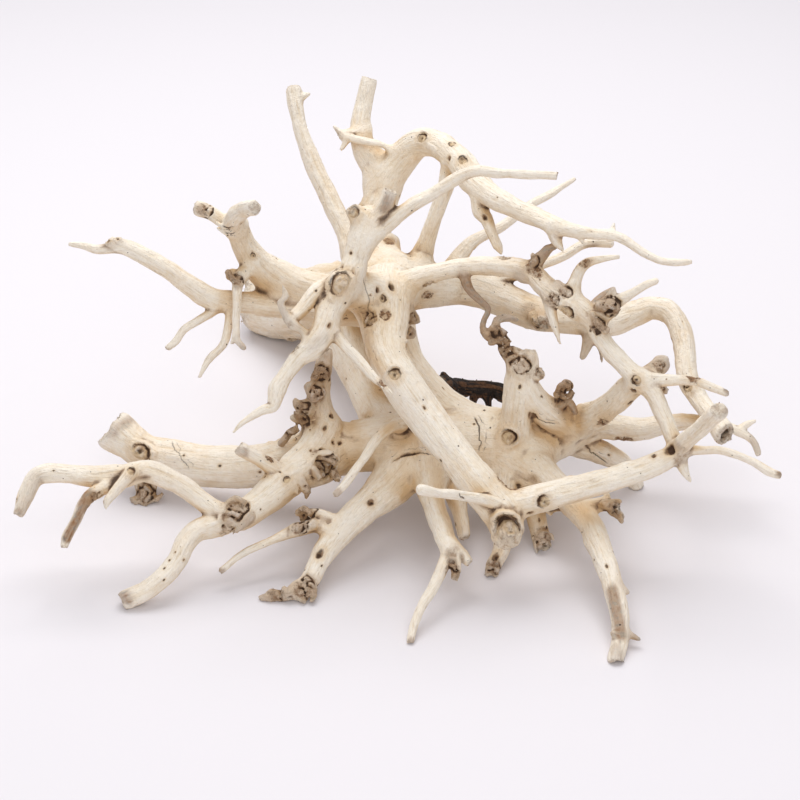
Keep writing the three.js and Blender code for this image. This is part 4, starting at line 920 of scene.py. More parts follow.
# %% The scars that show
SCARS = {
    "ring": [
        (53.5, -65, 7.6, 95), (-29.6, 58.3, 5.6, 110), (-8.8, 50.7, 2.3, 20),
        (-2.5, 12.5, 3.6, 80), (10.8, 130.9, 3, 60), (31.2, 120, 2.8, 90), (54, -18.5, 4.6, 40),
        (-130, -26, 4.6, 50), (83.5, 44, 3.6, 30), (118.5, 10, 3, 200), (144, 6.5, 3.2, 140),
        (-24.1, 94.2, 3.4, 60), (-56.5, -40, 2, 120), (66.5, 40, 4.2, 320), (-73.4, 72, 1.6, 90),
        (26, 128, 2, 200), (-134.5, -35.5, 2.4, 60), (72, -51, 3.8, 160),
    ],
    "pit": [
        (-11.7, 55, 2.1), (-4.2, 56.4, 2.3), (24.4, 120.9, 1.6), (42.3, 91.4, 1.6),
        (-14.5, -51, 2.2), (78, -55, 3.4), (65, -56.5, 1.5), (135, -25, 3.2), (127, -28, 1.5),
        (116.5, 4.5, 2), (47.5, -78.5, 2.2), (-40, -77, 2.4), (-34, -8, 1.6), (-37.5, -14, 1.3),
        (-33.5, -21.5, 1.4), (-30, -21.5, 1.2), (103.5, 47, 1), (106.8, 47.4, 1),
        (-146, 79.5, 0.8), (-141, 80.4, 0.8), (-65, -60, 1),
    ],
    "hole": [
        (-27, 40.6, 1), (-24.3, 73.4, 1), (-35.4, 37.2, 1.2), (-42, 54.5, 0.8), (-45.5, 45, 0.8),
        (-27.5, 48.5, 0.7), (27.4, 129.2, 0.9), (59.9, 6.5, 0.9), (37, -12, 0.7), (18, 22, 0.6),
        (42, -6, 0.7), (-60, -36, 0.6), (-97, -72, 0.7), (-108, -80, 0.7), (-118, -90, 0.6),
        (97, -80, 0.6), (50, 62, 0.7), (70, 60, 0.6), (-62, 70, 0.8), (-70, 90, 0.7),
        (-85, 55, 0.7), (12, -4, 0.8), (24, 10, 0.6), (-90, -33, 0.8), (-70, -36, 0.8),
        (-108, -28, 0.7), (-117, -77, 0.6), (-119, -80.5, 0.6), (-115.5, -80, 0.6),
        (-118, -84, 0.6), (-112.5, -76, 0.6),
    ],
    "patch": [
        (-7.4, 43, 3.2), (-31.5, 65.5, 2.8), (-8.5, 8.5, 2.4), (66, -7.5, 2.2), (67, 65, 3.5),
        (72.3, 38.2, 2.6), (147, 12, 3), (112, -20, 3.4), (101.5, -12.5, 3), (-5.5, 79, 3),
        (30, 79.5, 2), (14, 52, 2.4), (93, 68.5, 2.2), (-65, -29, 2),
    ],
    "gnarl": [
        (-83, -55, 5.6), (-86.5, -65, 3.4), (-47, -57.5, 4.6), (-50.5, -64, 4.2),
        (-37, -33.5, 6.6), (-47.5, -94, 5.6), (-62, -97.5, 4.4), (-40, 14, 5.4), (-41.5, 3.5, 4.4),
        (-49, -4, 4.2), (-49.5, -9.5, 3.6), (-54.5, -17.5, 3.8), (-31.3, 64.5, 3),
        (-127, -47, 5.4), (-82.5, 61.5, 3.6), (-98, 95, 4), (49, 33, 5.2), (52.5, 26, 4),
        (57, 20.5, 3.6), (104, 46, 5), (100, 39, 4.4), (67, 69, 3.2), (71.5, -71, 5),
        (46.5, -84, 4.4), (107.5, -55.5, 4.8), (82, 4, 5.4), (60.5, 18.5, 5.4), (71, 13.5, 3.2),
        (129.5, 17, 3.6), (131, 5, 2.8), (6.5, 41, 3.2), (5.5, 33.5, 2.6), (-46, -46.5, 3),
        (162, -18, 4.6), (26.5, -86, 4.4), (76.5, 50, 3.2), (82.5, 54, 3.8), (-53, 25.2, 2.6),
        (-15.5, 41, 4.4, 270), (-152, -49.5, 3),
    ],
}
print({kind: len(rows) for kind, rows in SCARS.items()}, "placed by eye")

# %% [markdown]
# A ray from the eye finds the wood at a place in the picture. A scar lies flat on the wood
# there, is stretched along the grain, and has its own noise, so that no two look alike.

# %% What a scar is
tree = BVHTree.FromPolygons(vertices.tolist(), squares.tolist())


def look_at_wood(across, up):
    """Where the eye's ray through this place meets the wood, and its normal, or None."""
    aim = unit(place([[across, up, 0, 1]])[0][:3] - eye)
    hit, normal = tree.ray_cast(Vector(eye), Vector(aim))[:2]
    return (None, None) if hit is None else (np.array(hit), np.array(normal))


class Scar:
    """A round mark in the wood: its middle, outward axis, two directions and radius."""

    def __init__(self, kind, middle, radius, seed, facing=None):
        near = ((vertices - middle)**2).sum(1) < max(0.8 * radius, 1.6)**2
        self.kind = kind
        self.middle = np.array(middle)
        self.radius = radius
        self.seed = seed
        self.axis = unit(normals[near].mean(0))
        nearest = np.flatnonzero(near)[((vertices[near] - middle)**2).sum(1).argmin()]
        grain = limb_list[who[nearest, 0]]
        place_at = np.abs(grain.length - (spot[nearest, 0, 2] - grain.offset)).argmin()
        self.across = unit(np.cross(grain.along[place_at], self.axis))
        self.along = np.cross(self.axis, self.across)
        own = np.random.default_rng(seed)
        self.turn = own.uniform(0, 2 * math.pi)
        self.stretch = own.uniform(1.0, 1.3)
        if kind in ("pit", "hole", "patch"):
            self.turn = 0
            self.stretch = own.uniform(1.1, 1.9)
        if facing is not None and kind in ("ring", "gnarl"):
            way = view_right * math.cos(facing) + view_up * math.sin(facing)
            self.turn = math.atan2(way @ self.along, way @ self.across)
        self.chance = own.uniform(0, 1)

    def local(self, points):
        """Points in units of the radius, in the scar's own turned plane, and the height."""
        offset = (points - self.middle) / self.radius
        x, y = offset @ self.across, offset @ self.along / self.stretch
        cos, sin = math.cos(self.turn), math.sin(self.turn)
        return x * cos + y * sin, y * cos - x * sin, offset @ self.axis


scars = []
for kind, rows in SCARS.items():
    for across, up, radius, *facing in rows:
        hit = look_at_wood(across, up)[0]
        if hit is None:
            print("no wood behind the", kind, "at", across, up)
            continue
        size = radius * (1 + ((hit - eye) @ view_forward - EYE_DISTANCE) / EYE_DISTANCE)
        scars.append(Scar(kind, hit, size, len(scars), math.radians(sum(facing))))
print(len(scars), "scars lie on the wood")

# %% [markdown]
# The photograph's eye can't see the back, so scattered scars mark it, at places drawn with a
# fixed seed. Each kind needs a limb thick enough to carry it, and none crowds another.

# %% Scatter scars on the hidden sides
# For each kind: how many, the least radius of the limb in mm, and the scar's share of it.
SCATTERED = {"ring": (12, 5.5, 0.42), "pit": (22, 3.5, 0.2), "hole": (140, 2.5, 0.0),
             "patch": (14, 4, 0.38), "gnarl": (12, 4.5, 0.5)}
SCATTER_SEED = 7477
LARGEST_SCATTERED = 5.5
FACES_EYE = 0.35

draw = np.random.default_rng(SCATTER_SEED)
placed = np.array([scar.middle for scar in scars])
for kind, (count, least, part) in SCATTERED.items():
    for pick in draw.permutation(np.flatnonzero(thick[:, 0] > least)):
        middle = vertices[pick]
        radius = part * thick[pick, 0] * draw.uniform(0.7, 1.1) + draw.uniform(0.4, 0.8)
        seen = normals[pick] @ unit(eye - middle) > FACES_EYE
        crowded = (np.linalg.norm(placed - middle, axis=1) < 3.2 * radius + 3).any()
        if crowded or (seen and kind != "hole") or middle[2] < 3:
            continue
        scars.append(Scar(kind, middle, min(radius, LARGEST_SCATTERED), len(scars)))
        placed = np.vstack([placed, middle])
        count -= 1
        if count == 0:
            break
print(len(scars), "scars with the scattered ones")

# %% [markdown]
# Dry wood also splits. A crack is a line of points as seen from the eye, dropped onto the
# wood. Its distance is kept with a sign, one on each side, so that it can be drawn finely.

# %% Lay the cracks on the wood
CRACKS = [
    ([(37.5, -8), (39.5, -14), (40.5, -22), (39, -27.5)], 0.6),
    ([(-5, -31.5), (2, -27.5), (10, -26), (17, -28)], 1.2),
    ([(100, -10), (102, -14.5), (101.5, -18)], 0.7),
    ([(-59, -15.5), (-54, -18), (-49.5, -21.5)], 0.8),
    ([(-38, -34), (-36, -37), (-33, -40)], 1.0),
    ([(-116, -10), (-113, -24), (-105, -35)], 0.3),
    ([(66, -6), (69, -9), (73, -11), (78, -12)], 0.5),
    ([(29, -46), (34, -52), (41, -58), (46, -64)], 0.5),
    ([(92, -22), (97, -27), (104, -32)], 0.4),
    ([(-19, 62), (-15, 50), (-16, 44)], 0.3),
    ([(58, -42), (66, -45), (74, -47)], 0.4),
    ([(-89, 87), (-85.5, 85.8), (-82, 87)], 0.5),
    ([(-88, 84), (-85, 82.8), (-81.5, 84)], 0.5),
]
CRACK_REACH = 3.0
LONGEST_GAP = 8


class Crack:
    """A split in the wood along a line of points, with its depth in mm."""

    def __init__(self, line, axis, depth):
        self.line = line
        self.axis = axis
        self.depth = depth

    def at(self, points):
        """Signed distance for the points near the line, their numbers, and the depth there."""
        low_end, high_end = self.line.min(0) - CRACK_REACH, self.line.max(0) + CRACK_REACH
        near = np.flatnonzero(((points > low_end) & (points < high_end)).all(1))
        best = np.full(len(near), FAR)
        sign = np.ones(len(near))
        total = np.linalg.norm(np.diff(self.line, axis=0), axis=1).sum()
        passed = np.zeros(len(near))
        run = 0.0
        for a, b, axis in zip(self.line, self.line[1:], self.axis):
            step = b - a
            size = np.linalg.norm(step)
            t = np.clip((points[near] - a) @ step / size**2, 0, 1)
            offset = points[near] - a - t[:, None] * step
            gap = np.linalg.norm(offset, axis=1)
            closer = gap < best
            best[closer] = gap[closer]
            sign[closer] = np.sign(offset[closer] @ np.cross(step, axis))
            passed[closer] = (run + t[closer] * size) / total
            run += size
        keep = best < CRACK_REACH
        fade = smoothstep(0, 0.15, passed) * smoothstep(1, 0.85, passed)
        return (best * sign)[keep], near[keep], (self.depth * fade)[keep]


cracks = []
for rows, depth in CRACKS:
    found = []
    rows = np.array(rows, float)
    for t in np.linspace(0, len(rows) - 1, 4 * len(rows)):
        i = min(int(t), len(rows) - 2)
        hit, normal = look_at_wood(*(rows[i] + (rows[i + 1] - rows[i]) * (t - i)))
        if hit is not None and (not found or np.linalg.norm(hit - found[-1][0]) < LONGEST_GAP):
            jag = np.array([noise(hit[None] / 3, seed)[0] for seed in (1, 2, 3)])
            found.append((hit + jag * 0.5, normal))
    if len(found) > 1:
        cracks.append(Crack(np.array([f[0] for f in found]), [f[1] for f in found], depth))
print(len(cracks), "cracks")

# %% [markdown]
# A scar's profile is written as a height over the distance from its middle: a bump for the
# collar, a narrow groove inside it, and a low dome with cracks for the plug.

# %% Press the scars into the skin
def bump(x, middle, width):
    """1 at the middle, and a third of that at the width on each side."""
    return np.exp(-((x - middle) / width)**2)


def scar_height(scar, x, y, points):
    """Height of a scar in units of its radius, from the place in it."""
    uneven = 0.16 if scar.kind == "ring" else 0.30
    from_middle = np.hypot(x, y) + uneven * noise(points / (0.8 * scar.radius), scar.seed)
    rough = noise(points / max(0.28 * scar.radius, 1.0), scar.seed + 500)
    if scar.kind == "ring":
        lean = x / np.maximum(np.hypot(x, y), 0.2)
        collar = (0.20 + 0.10 * lean + 0.12 * rough) * bump(from_middle, 1.08, 0.30)
        groove = -(0.22 + 0.24 * lean) * bump(from_middle, 0.78, 0.12 + 0.07 * lean)
        inside = smoothstep(0.76, 0.5, from_middle)
        plug = inside * (0.10 - 0.20 * x + 0.20 * rough)
        split_heart = 0.3 * bump(y + 0.25 * rough, 0, 0.12) * inside * (scar.chance > 0.4)
        return collar + groove + plug - split_heart
    if scar.kind == "gnarl":
        torn = np.hypot(x, y) + 0.42 * noise(points / (0.75 * scar.radius), scar.seed)
        lean = x / np.maximum(np.hypot(x, y), 0.2)
        inside = smoothstep(0.9, 0.6, torn)
        size = 0.55 * scar.radius + 0.6
        folds = noise(points / size, scar.seed + 900) + 0.25 * rough
        finer = noise(points / (0.4 * size), scar.seed + 950)
        ledges = 0.16 * smoothstep(-0.10, 0.10, folds) + 0.10 * smoothstep(-0.15, 0.15, finer)
        cleft = 0.36 * bump(folds, -0.08, 0.09) * inside
        groove = (0.20 + 0.22 * lean) * bump(torn, 0.82, 0.14)
        collar = (0.12 + 0.08 * rough) * bump(torn, 1.12, 0.22)
        return inside * (ledges + 0.12 * rough - 0.14) + collar - groove - cleft
    if scar.kind == "patch":
        inside = smoothstep(1.05, 0.6, from_middle)
        return inside * (0.16 * rough - 0.10) + 0.05 * bump(from_middle, 1.1, 0.2)
    depth = 0.7 if scar.kind == "pit" else 0.9
    return 0.07 * bump(from_middle, 1.15, 0.22) - depth * smoothstep(0.95, 0.15, from_middle)


MOST_DEPTH = 4.5
CRACK_WIDTH = 0.75
FLAT_BELOW = 0.6
carve = np.zeros_like(vertices)
for scar in scars:
    near = np.flatnonzero(((vertices - scar.middle)**2).sum(1) < (1.7 * scar.radius + 0.5)**2)
    near = near[normals[near] @ scar.axis > 0.1]
    x, y, _ = scar.local(vertices[near])
    depth = scar_height(scar, x, y, vertices[near]) * scar.radius
    limit = np.minimum(0.9 * thick[near, 0], MOST_DEPTH)
    depth = np.maximum(depth, -limit)
    carve[near] += depth[:, None] * scar.axis
for crack in cracks:
    gap, near, depth = crack.at(vertices)
    carve[near] -= normals[near] * (depth * bump(gap, 0, CRACK_WIDTH))[:, None]
shaped = vertices + wander + normals * height[:, None] + carve
# What touches the floor stays flat.
grounded = vertices[:, 2] < FLAT_BELOW
shaped[grounded, 2] = vertices[grounded, 2]
shaped[:, 2] = np.maximum(shaped[:, 2], 0)
print("scars reach", round(float(np.linalg.norm(carve, axis=1).max()), 2), "mm deep")

# %% [markdown]
# ## From fine skin to finished mesh
# The skin has far more faces than a part should carry. Decimate takes away edges where the
# wood is smooth and keeps them where it is carved, so the knots stay sharp.

# %% Thin the mesh
MOST_TRIANGLES = 194000


def keep_largest(points, faces):
    """Drops loose scraps: only the largest connected body stays."""
    label = np.arange(len(points))
    one = faces.ravel()
    other = np.roll(faces, -1, 1).ravel()
    ends, neighbours = np.concatenate([one, other]), np.concatenate([other, one])
    order = np.argsort(ends, kind="stable")
    first = np.searchsorted(ends[order], np.arange(len(points)))
    neighbours = neighbours[order]
    while True:
        new = np.minimum(label, np.minimum.reduceat(label[neighbours], first))
        new = new[new][new]
        if (new == label).all():
            break
        label = new
    names, counts = np.unique(label, return_counts=True)
    keep = label == names[counts.argmax()]
    renumber = np.cumsum(keep) - 1
    return points[keep], renumber[faces[keep[faces[:, 0]]]], len(names) - 1


def mesh_from(name, points, faces):
    """A Blender mesh of points in mm and faces with equally many corners."""
    mesh = bpy.data.meshes.new(name)
    mesh.vertices.add(len(points))
    mesh.vertices.foreach_set("co", np.asarray(points * MM, np.float32).ravel())
    mesh.loops.add(faces.size)
    mesh.loops.foreach_set("vertex_index", faces.ravel().astype(np.int32))
    mesh.polygons.add(len(faces))
    starts = np.arange(0, faces.size, faces.shape[1], dtype=np.int32)
    mesh.polygons.foreach_set("loop_start", starts)
    mesh.update(calc_edges=True)
    return mesh


shaped, squares, scraps = keep_largest(shaped, squares)
print(scraps, "loose scraps dropped")
wood = bpy.data.objects.new("driftwood", mesh_from("driftwood", shaped, squares))
bpy.context.scene.collection.objects.link(wood)
thin = wood.modifiers.new("thin", "DECIMATE")
thin.ratio = min(1.0, MOST_TRIANGLES / (2 * len(squares)))
bpy.context.view_layer.update()
thinned = wood.evaluated_get(bpy.context.evaluated_depsgraph_get())
mesh = bpy.data.meshes.new_from_object(thinned)
wood.modifiers.remove(thin)
wood.data = mesh
mesh.name = "driftwood"
mesh.polygons.foreach_set("use_smooth", np.ones(len(mesh.polygons), bool))
print(f"the root has {len(mesh.polygons):,} faces and {len(mesh.vertices):,} vertices")

# %% [markdown]
# ## What the finish needs to know
# The finish is drawn by nodes, and they read what is stored here on the mesh: the place on
# the nearest two limbs for the grain, the place in the nearest scar, how hollow the spot
# is, and where the wood is stained, rotten or broken.

# %% Store the grain
def read(items, name, width=1, kind=float):
    """What a mesh's vertices, edges, corners or faces hold under this name."""
    values = np.zeros(width * len(items), kind)
    items.foreach_get(name, values)
    return values.reshape(-1, width) if width > 1 else values


def store(on, name, values, domain="CORNER"):
    """Keeps one number or three for each corner or vertex of a mesh."""
    single = values.ndim == 1
    attribute = on.attributes.new(name, "FLOAT" if single else "FLOAT_VECTOR", domain)
    attribute.data.foreach_set("value" if single else "vector",
                               np.asarray(values, np.float32).ravel())


points = read(mesh.vertices, "co", 3) / MM
point_normals = read(mesh.vertices, "normal", 3)
sizes = read(mesh.polygons, "loop_total", kind=int)
corner = read(mesh.loops, "vertex_index", kind=int)
face_of = np.repeat(np.arange(len(sizes)), sizes)
face_start = np.concatenate([[0], np.cumsum(sizes)[:-1]])
face_middle = np.add.reduceat(points[corner], face_start) / sizes[:, None]
pair = np.sort(limb_places(face_middle)[1], axis=1)
grain = np.zeros((2, len(corner), 3))
depth = np.full((2, len(corner)), FAR)
for number, limb in enumerate(limb_list):
    for rank in (0, 1):
        at = np.flatnonzero(pair[face_of, rank] == number)
        for start in range(0, len(at), CHUNK):
            some = at[start:start + CHUNK]
            d, place_on, _ = nearest_on(limb, points[corner[some]])
            grain[rank, some] = place_on
            depth[rank, some] = d
share = smoothstep(-SHARE_WIDTH, SHARE_WIDTH, depth[1] - depth[0])
store(mesh, "grain_a", grain[0])
store(mesh, "grain_b", grain[1])
store(mesh, "share", share)
print(f"grain stored at {len(corner):,} corners")

# %% [markdown]
# Each face belongs to at most one scar, the nearest, and its corners keep their place in it
# in units of its radius. The kind is kept as three shares: ring, hole and torn patch.

# %% Store the scars
OUTSIDE = 9.0
KINDS = {"ring": (1, 0, 0), "pit": (0, 1, 0), "hole": (0, 1, 0), "patch": (0, 0, 1),
         "gnarl": (0, 0, 0.5)}
scar_place = np.tile([OUTSIDE, OUTSIDE, 0.0], (len(corner), 1))
scar_kind = np.zeros((len(corner), 3))
best = np.full(len(sizes), FAR)
for scar in scars:
    near = np.flatnonzero(((face_middle - scar.middle)**2).sum(1) < (2.2 * scar.radius + 1)**2)
    x, y, z = scar.local(face_middle[near])
    facing = point_normals[corner[face_start[near]]] @ scar.axis > -0.1
    distance = np.hypot(x, y)
    take = near[(distance < np.minimum(best[near], 2.0)) & facing & (np.abs(z) < 1.6)]
    best[take] = np.hypot(*scar.local(face_middle[take])[:2])
    at = np.flatnonzero(np.isin(face_of, take))
    x, y, _ = scar.local(points[corner[at]])
    scar_place[at] = np.stack([x, y, np.full(len(at), scar.chance)], 1)
    scar_kind[at] = KINDS[scar.kind]
store(mesh, "scar_place", scar_place)
store(mesh, "scar_kind", scar_kind)
print(f"{(best < 1.2).sum():,} faces lie in scars")

# %% [markdown]
# Hollows between limbs and faces that point down are tan later: partly because sun and rain
# don't reach them, so the wood stays browner, and partly as painted shade. How hollow a spot
# is comes from a coarse grid of the wood, blurred, and read a little outside the skin.

# %% Measure how hollow each spot is
COARSE = 3.0
CLOSE_LOOK, WIDE_LOOK = 5, 13
coarse_shape = np.ceil((high - low) / COARSE).astype(int) + 1


def box_blur(grid, reach):
    """The mean over a cube of cells, by running sums along each axis."""
    for axis in range(3):
        padded = np.concatenate([np.zeros_like(grid.take([0] * (reach + 1), axis)), grid,
                                 np.zeros_like(grid.take([0] * reach, axis))], axis)
        total = np.cumsum(padded, axis)
        ahead = total.take(range(2 * reach + 1, total.shape[axis]), axis)
        behind = total.take(range(0, total.shape[axis] - 2 * reach - 1), axis)
        grid = (ahead - behind) / (2 * reach + 1)
    return grid


def read_grid(grid, points):
    """The grid's value at points, blended between its cells."""
    place_in = np.clip((points - low) / COARSE, 0, np.array(grid.shape) - 1.001)
    base = place_in.astype(int)
    part = place_in - base
    total = np.zeros(len(points))
    for i, j, k in CORNERS:
        weight = np.where([i, j, k], part, 1 - part).prod(1)
        total += weight * grid[base[:, 0] + i, base[:, 1] + j, base[:, 2] + k]
    return total


inside = np.argwhere(field < 0)
cells = np.round(inside * GRID / COARSE).astype(int)
flat = np.ravel_multi_index(cells.T, coarse_shape + 1)
filled = np.bincount(flat, minlength=np.prod(coarse_shape + 1)).reshape(coarse_shape + 1)
filled = np.minimum(filled * (GRID / COARSE)**3, 1.0)
close = read_grid(box_blur(box_blur(filled, 1), 1), points + point_normals * CLOSE_LOOK)
wide = read_grid(box_blur(box_blur(filled, 3), 2), points + point_normals * WIDE_LOOK)
# Faces that point down count as hollow too; the tan this drives later is partly painted shade.
hollow = 2.4 * close + 2.2 * wide - 0.12 + 0.22 * smoothstep(0.35, -0.6, point_normals[:, 2])
hollow = np.clip(hollow, 0, 1)
print("hollow from", round(float(hollow.min()), 2), "to", round(float(hollow.max()), 2),
      "mean", round(float(hollow.mean()), 2))

# %% [markdown]
# Narrow clefts get painted shade, and ridges a little painted light. A vertex that lies below
# the mean of its neighbourhood is in a cleft, so a smoothed copy of the mesh is compared with
# the mesh.
# A round limb alone would look raised, so the median for its radius is taken off again.

# %% Measure the narrow clefts
SMOOTHINGS = 7
THINNEST_ROUND = 2.5
edges = read(mesh.edges, "vertices", 2, int)
around = np.bincount(edges.ravel(), minlength=len(points))


def neighbour_mean(values):
    """Each vertex's value averaged half with its neighbours' values."""
    total = np.bincount(edges[:, 0], values[edges[:, 1]], len(points))
    total += np.bincount(edges[:, 1], values[edges[:, 0]], len(points))
    return 0.5 * values + 0.5 * total / around


smoothed = points.copy()
for _ in range(SMOOTHINGS):
    smoothed = np.stack([neighbour_mean(smoothed[:, axis]) for axis in range(3)], 1)
cleft = neighbour_mean(((smoothed - points) * point_normals).sum(1))
point_far, point_who, _, point_thick = limb_places(points)
round_radius = np.maximum(point_thick[:, 0], 1.0)
cleft += np.median(-cleft * round_radius) / np.maximum(round_radius, THINNEST_ROUND)
cleft *= smoothstep(0.7, 3.0, round_radius)
print("clefts are", round(float(np.percentile(cleft, 99)), 2), "mm deep and ridges",
      round(float(-np.percentile(cleft, 1)), 2), "mm high")

# %% [markdown]
# Some twigs and most torn bits are brown all over, and the decayed piece is nearly black.
# Further stains are strokes on the wood as seen from the eye: from across and up, to across
# and up, with a radius in mm and a strength.

# %% Mark stained and rotten wood
STAINED_BY = {
    0.1: "knot_lip",
    0.15: "crevice_lump_a",
    0.2: "stump_knob stump_knob_low",
    0.25: "left_stump",
    0.3: "knobby_twig stump_spur_low crevice_lump_b arm_shard_b elbow_splinter_a twig_knuckle "
         "limb_dot_a limb_dot_b",
    0.35: "hanging_fork burl_tip",
    0.4: "joint_stub_low stump_spur_high crevice_lump_c arm_shard_a twig_fork_tip "
         "short_leg_lip",
    0.45: "elbow_lip",
    0.5: "hanging_fork_thin joint_stub leg_stub_down left_leg_toe foot_lump leg_bump "
         "elbow_splinter_b leg_crumb_a foot_crumb_c leg_fork_a stub_horn",
    0.55: "tendril_hook left_leg_prong leg_crumb_b burl_lump rolled_knot thorn_collar",
    0.6: "crown_knob_high crown_knob_low leg_spur trunk_stub torn_cup cup_lip bark_ridge_a "
         "stub_lip leg_crumb_c foot_crumb_a foot_crumb_b burl_flap prong_wrap leg_end_lip",
    0.65: "oval_knob leg_fork_b",
    0.7: "brown_prong rear_stub twig_crack_lip",
    0.75: "tendril curled_flap curl_b",
    0.8: "curled_twig tendril_nodule_a tendril_nodule_b tendril_flap collar_left collar_right "
         "curl_a",
    0.85: "stump_shard",
}
STAINED = {name: amount for amount, names in STAINED_BY.items() for name in names.split()}
ROTTEN = {"decayed": 1, "decayed_spur": 1, "decayed_prongs": 1, "decayed_prong_right": 1}
STAINS = [
    (106, -95.5, 110.5, -117, 4.2, 0.75), (-157, -50.5, -166.5, -69, 3.4, 0.85),
    (-155.5, -48, -157.5, -53, 5, 0.9), (-40.5, 14, -41, 3, 6, 0.6), (-40, -37, -33, -31, 6, 0.5),
    (-52, -94, -68, -98.5, 6, 0.5), (25, -77, 28, -89, 3.6, 0.6), (46.5, -82, 45, -88, 5, 0.5),
    (71, -68, 71.5, -74, 5.5, 0.35), (-83, -56, -86, -60, 5, 0.5), (162, -17, 164, -20, 7, 0.3),
    (-5, 98, -5, 103, 4, 0.3), (58, 22, 64, 20, 5.5, 0.3), (-20, 58, -22, 52, 9, 0.15),
    (42, 4, 40, 0, 8, 0.25), (-148, -18, -135, -10, 4, 0.5), (65, 45, 70, 43, 6, 0.4),
    (104, 47, 99, 39, 5, 0.3), (-99, 95, -101, 96, 3.5, 0.45), (176, -17, 179, -25, 3, 0.3),
    (138, -23, 140, -24, 5, 0.35), (-84, 63, -81, 58, 3.6, 0.6), (-47, -57, -49, -62, 4.6, 0.55),
    (108, -56, 110, -58, 4, 0.6), (-182, -38.5, -189, -56, 5, 0.25),
    (-55, -17, -50, -15, 3.4, 0.5), (78, 5, 84, 2, 5, 0.45), (93, 68, 93.5, 69, 3, 0.6),
    (-44, 28, -38, 30, 4, 0.2), (-37.5, 24, -40, 20, 4, 0.5), (-30.5, 60, -29, 56.5, 4.6, 0.45),
    (-6, 79.5, -4, 80, 3.2, 0.8), (-6, 100, -8, 95.5, 3.6, 0.6), (53.5, -62, 53.5, -68, 6, 0.55),
    (-138.5, -98, -136.5, -99.5, 3.6, 0.9), (-191, -56, -191, -57, 3, 0.6),
    (190, -36.8, 190.5, -37, 2.4, 0.8), (163.5, 5, 164, 4.5, 2.4, 0.8),
    (-89, -85.5, -89.5, -86, 2.4, 0.5), (-31.5, -47, -31, -46, 3, 0.5),
    (5.5, -121, 6, -120, 2.4, 0.5), (-79, -26, -78, -26.5, 3.6, 0.5),
    (107.5, -124, 109, -128, 4, 0.4),
]
STROKE_STEPS = 9
stain = np.zeros(len(points))
rot = np.zeros(len(points))
point_share = first_share(point_far)
for number, limb in enumerate(limb_list):
    for rank, weight in ((0, point_share), (1, 1 - point_share)):
        here = point_who[:, rank] == number
        stain[here] += weight[here] * STAINED.get(limb.name, 0)
        rot[here] += weight[here] * ROTTEN.get(limb.name, 0)
for across, up, across_end, up_end, radius, amount in STAINS:
    for t in np.linspace(0, 1, STROKE_STEPS):
        hit = look_at_wood(across + (across_end - across) * t, up + (up_end - up) * t)[0]
        if hit is not None:
            distance = np.linalg.norm(points - hit, axis=1)
            stain = np.maximum(stain, amount * smoothstep(radius, 0.45 * radius, distance))
stain, rot = np.clip(stain, 0, 1), np.clip(rot, 0, 1)
print(f"{(stain > 0.5).sum():,} vertices are stained and {(rot > 0.5).sum():,} rotten")

# %% [markdown]
# Broken faces are greyer and rougher than the skin, so their vertices are marked, and so is
# each crack: its signed distance, and how far it has opened, which fades at both ends.

# %% Mark broken faces and cracks
cut = np.zeros(len(points))
for name, which, past, rough, deep in BREAKS:
    end, radius, outward = limbs[name].end(which)
    offset = points - end - outward * radius * past
    height = offset @ outward
    beside = np.linalg.norm(offset - height[:, None] * outward, axis=1)
    facing = smoothstep(0.15, 0.7, point_normals @ outward)
    sunk = smoothstep(-0.55, -0.25, height / radius) * facing
    if deep:
        sunk = np.maximum(sunk, (height > -1.4 * deep * radius) *
                          smoothstep(0.75, 0.5, beside / radius))
    cut = np.maximum(cut, sunk * (beside < 1.35 * radius) * (height < 2 + radius))
split = np.full(len(points), CRACK_REACH)
splitting = np.zeros(len(points))
for crack in cracks:
    gap, near, depth = crack.at(points)
    closer = np.abs(gap) < np.abs(split[near])
    split[near[closer]] = gap[closer]
    fading = smoothstep(CRACK_REACH, 0.5 * CRACK_REACH, np.abs(gap[closer]))
    splitting[near[closer]] = np.minimum(depth[closer] * 2, 1) * fading
tone = np.stack([hollow, stain, rot], 1)
for name, values in (("split", split), ("splitting", splitting), ("tone", tone), ("cut", cut),
                     ("cleft", cleft)):
    store(mesh, name, values, "POINT")
print(f"{(cut > 0.5).sum():,} vertices lie on broken faces")
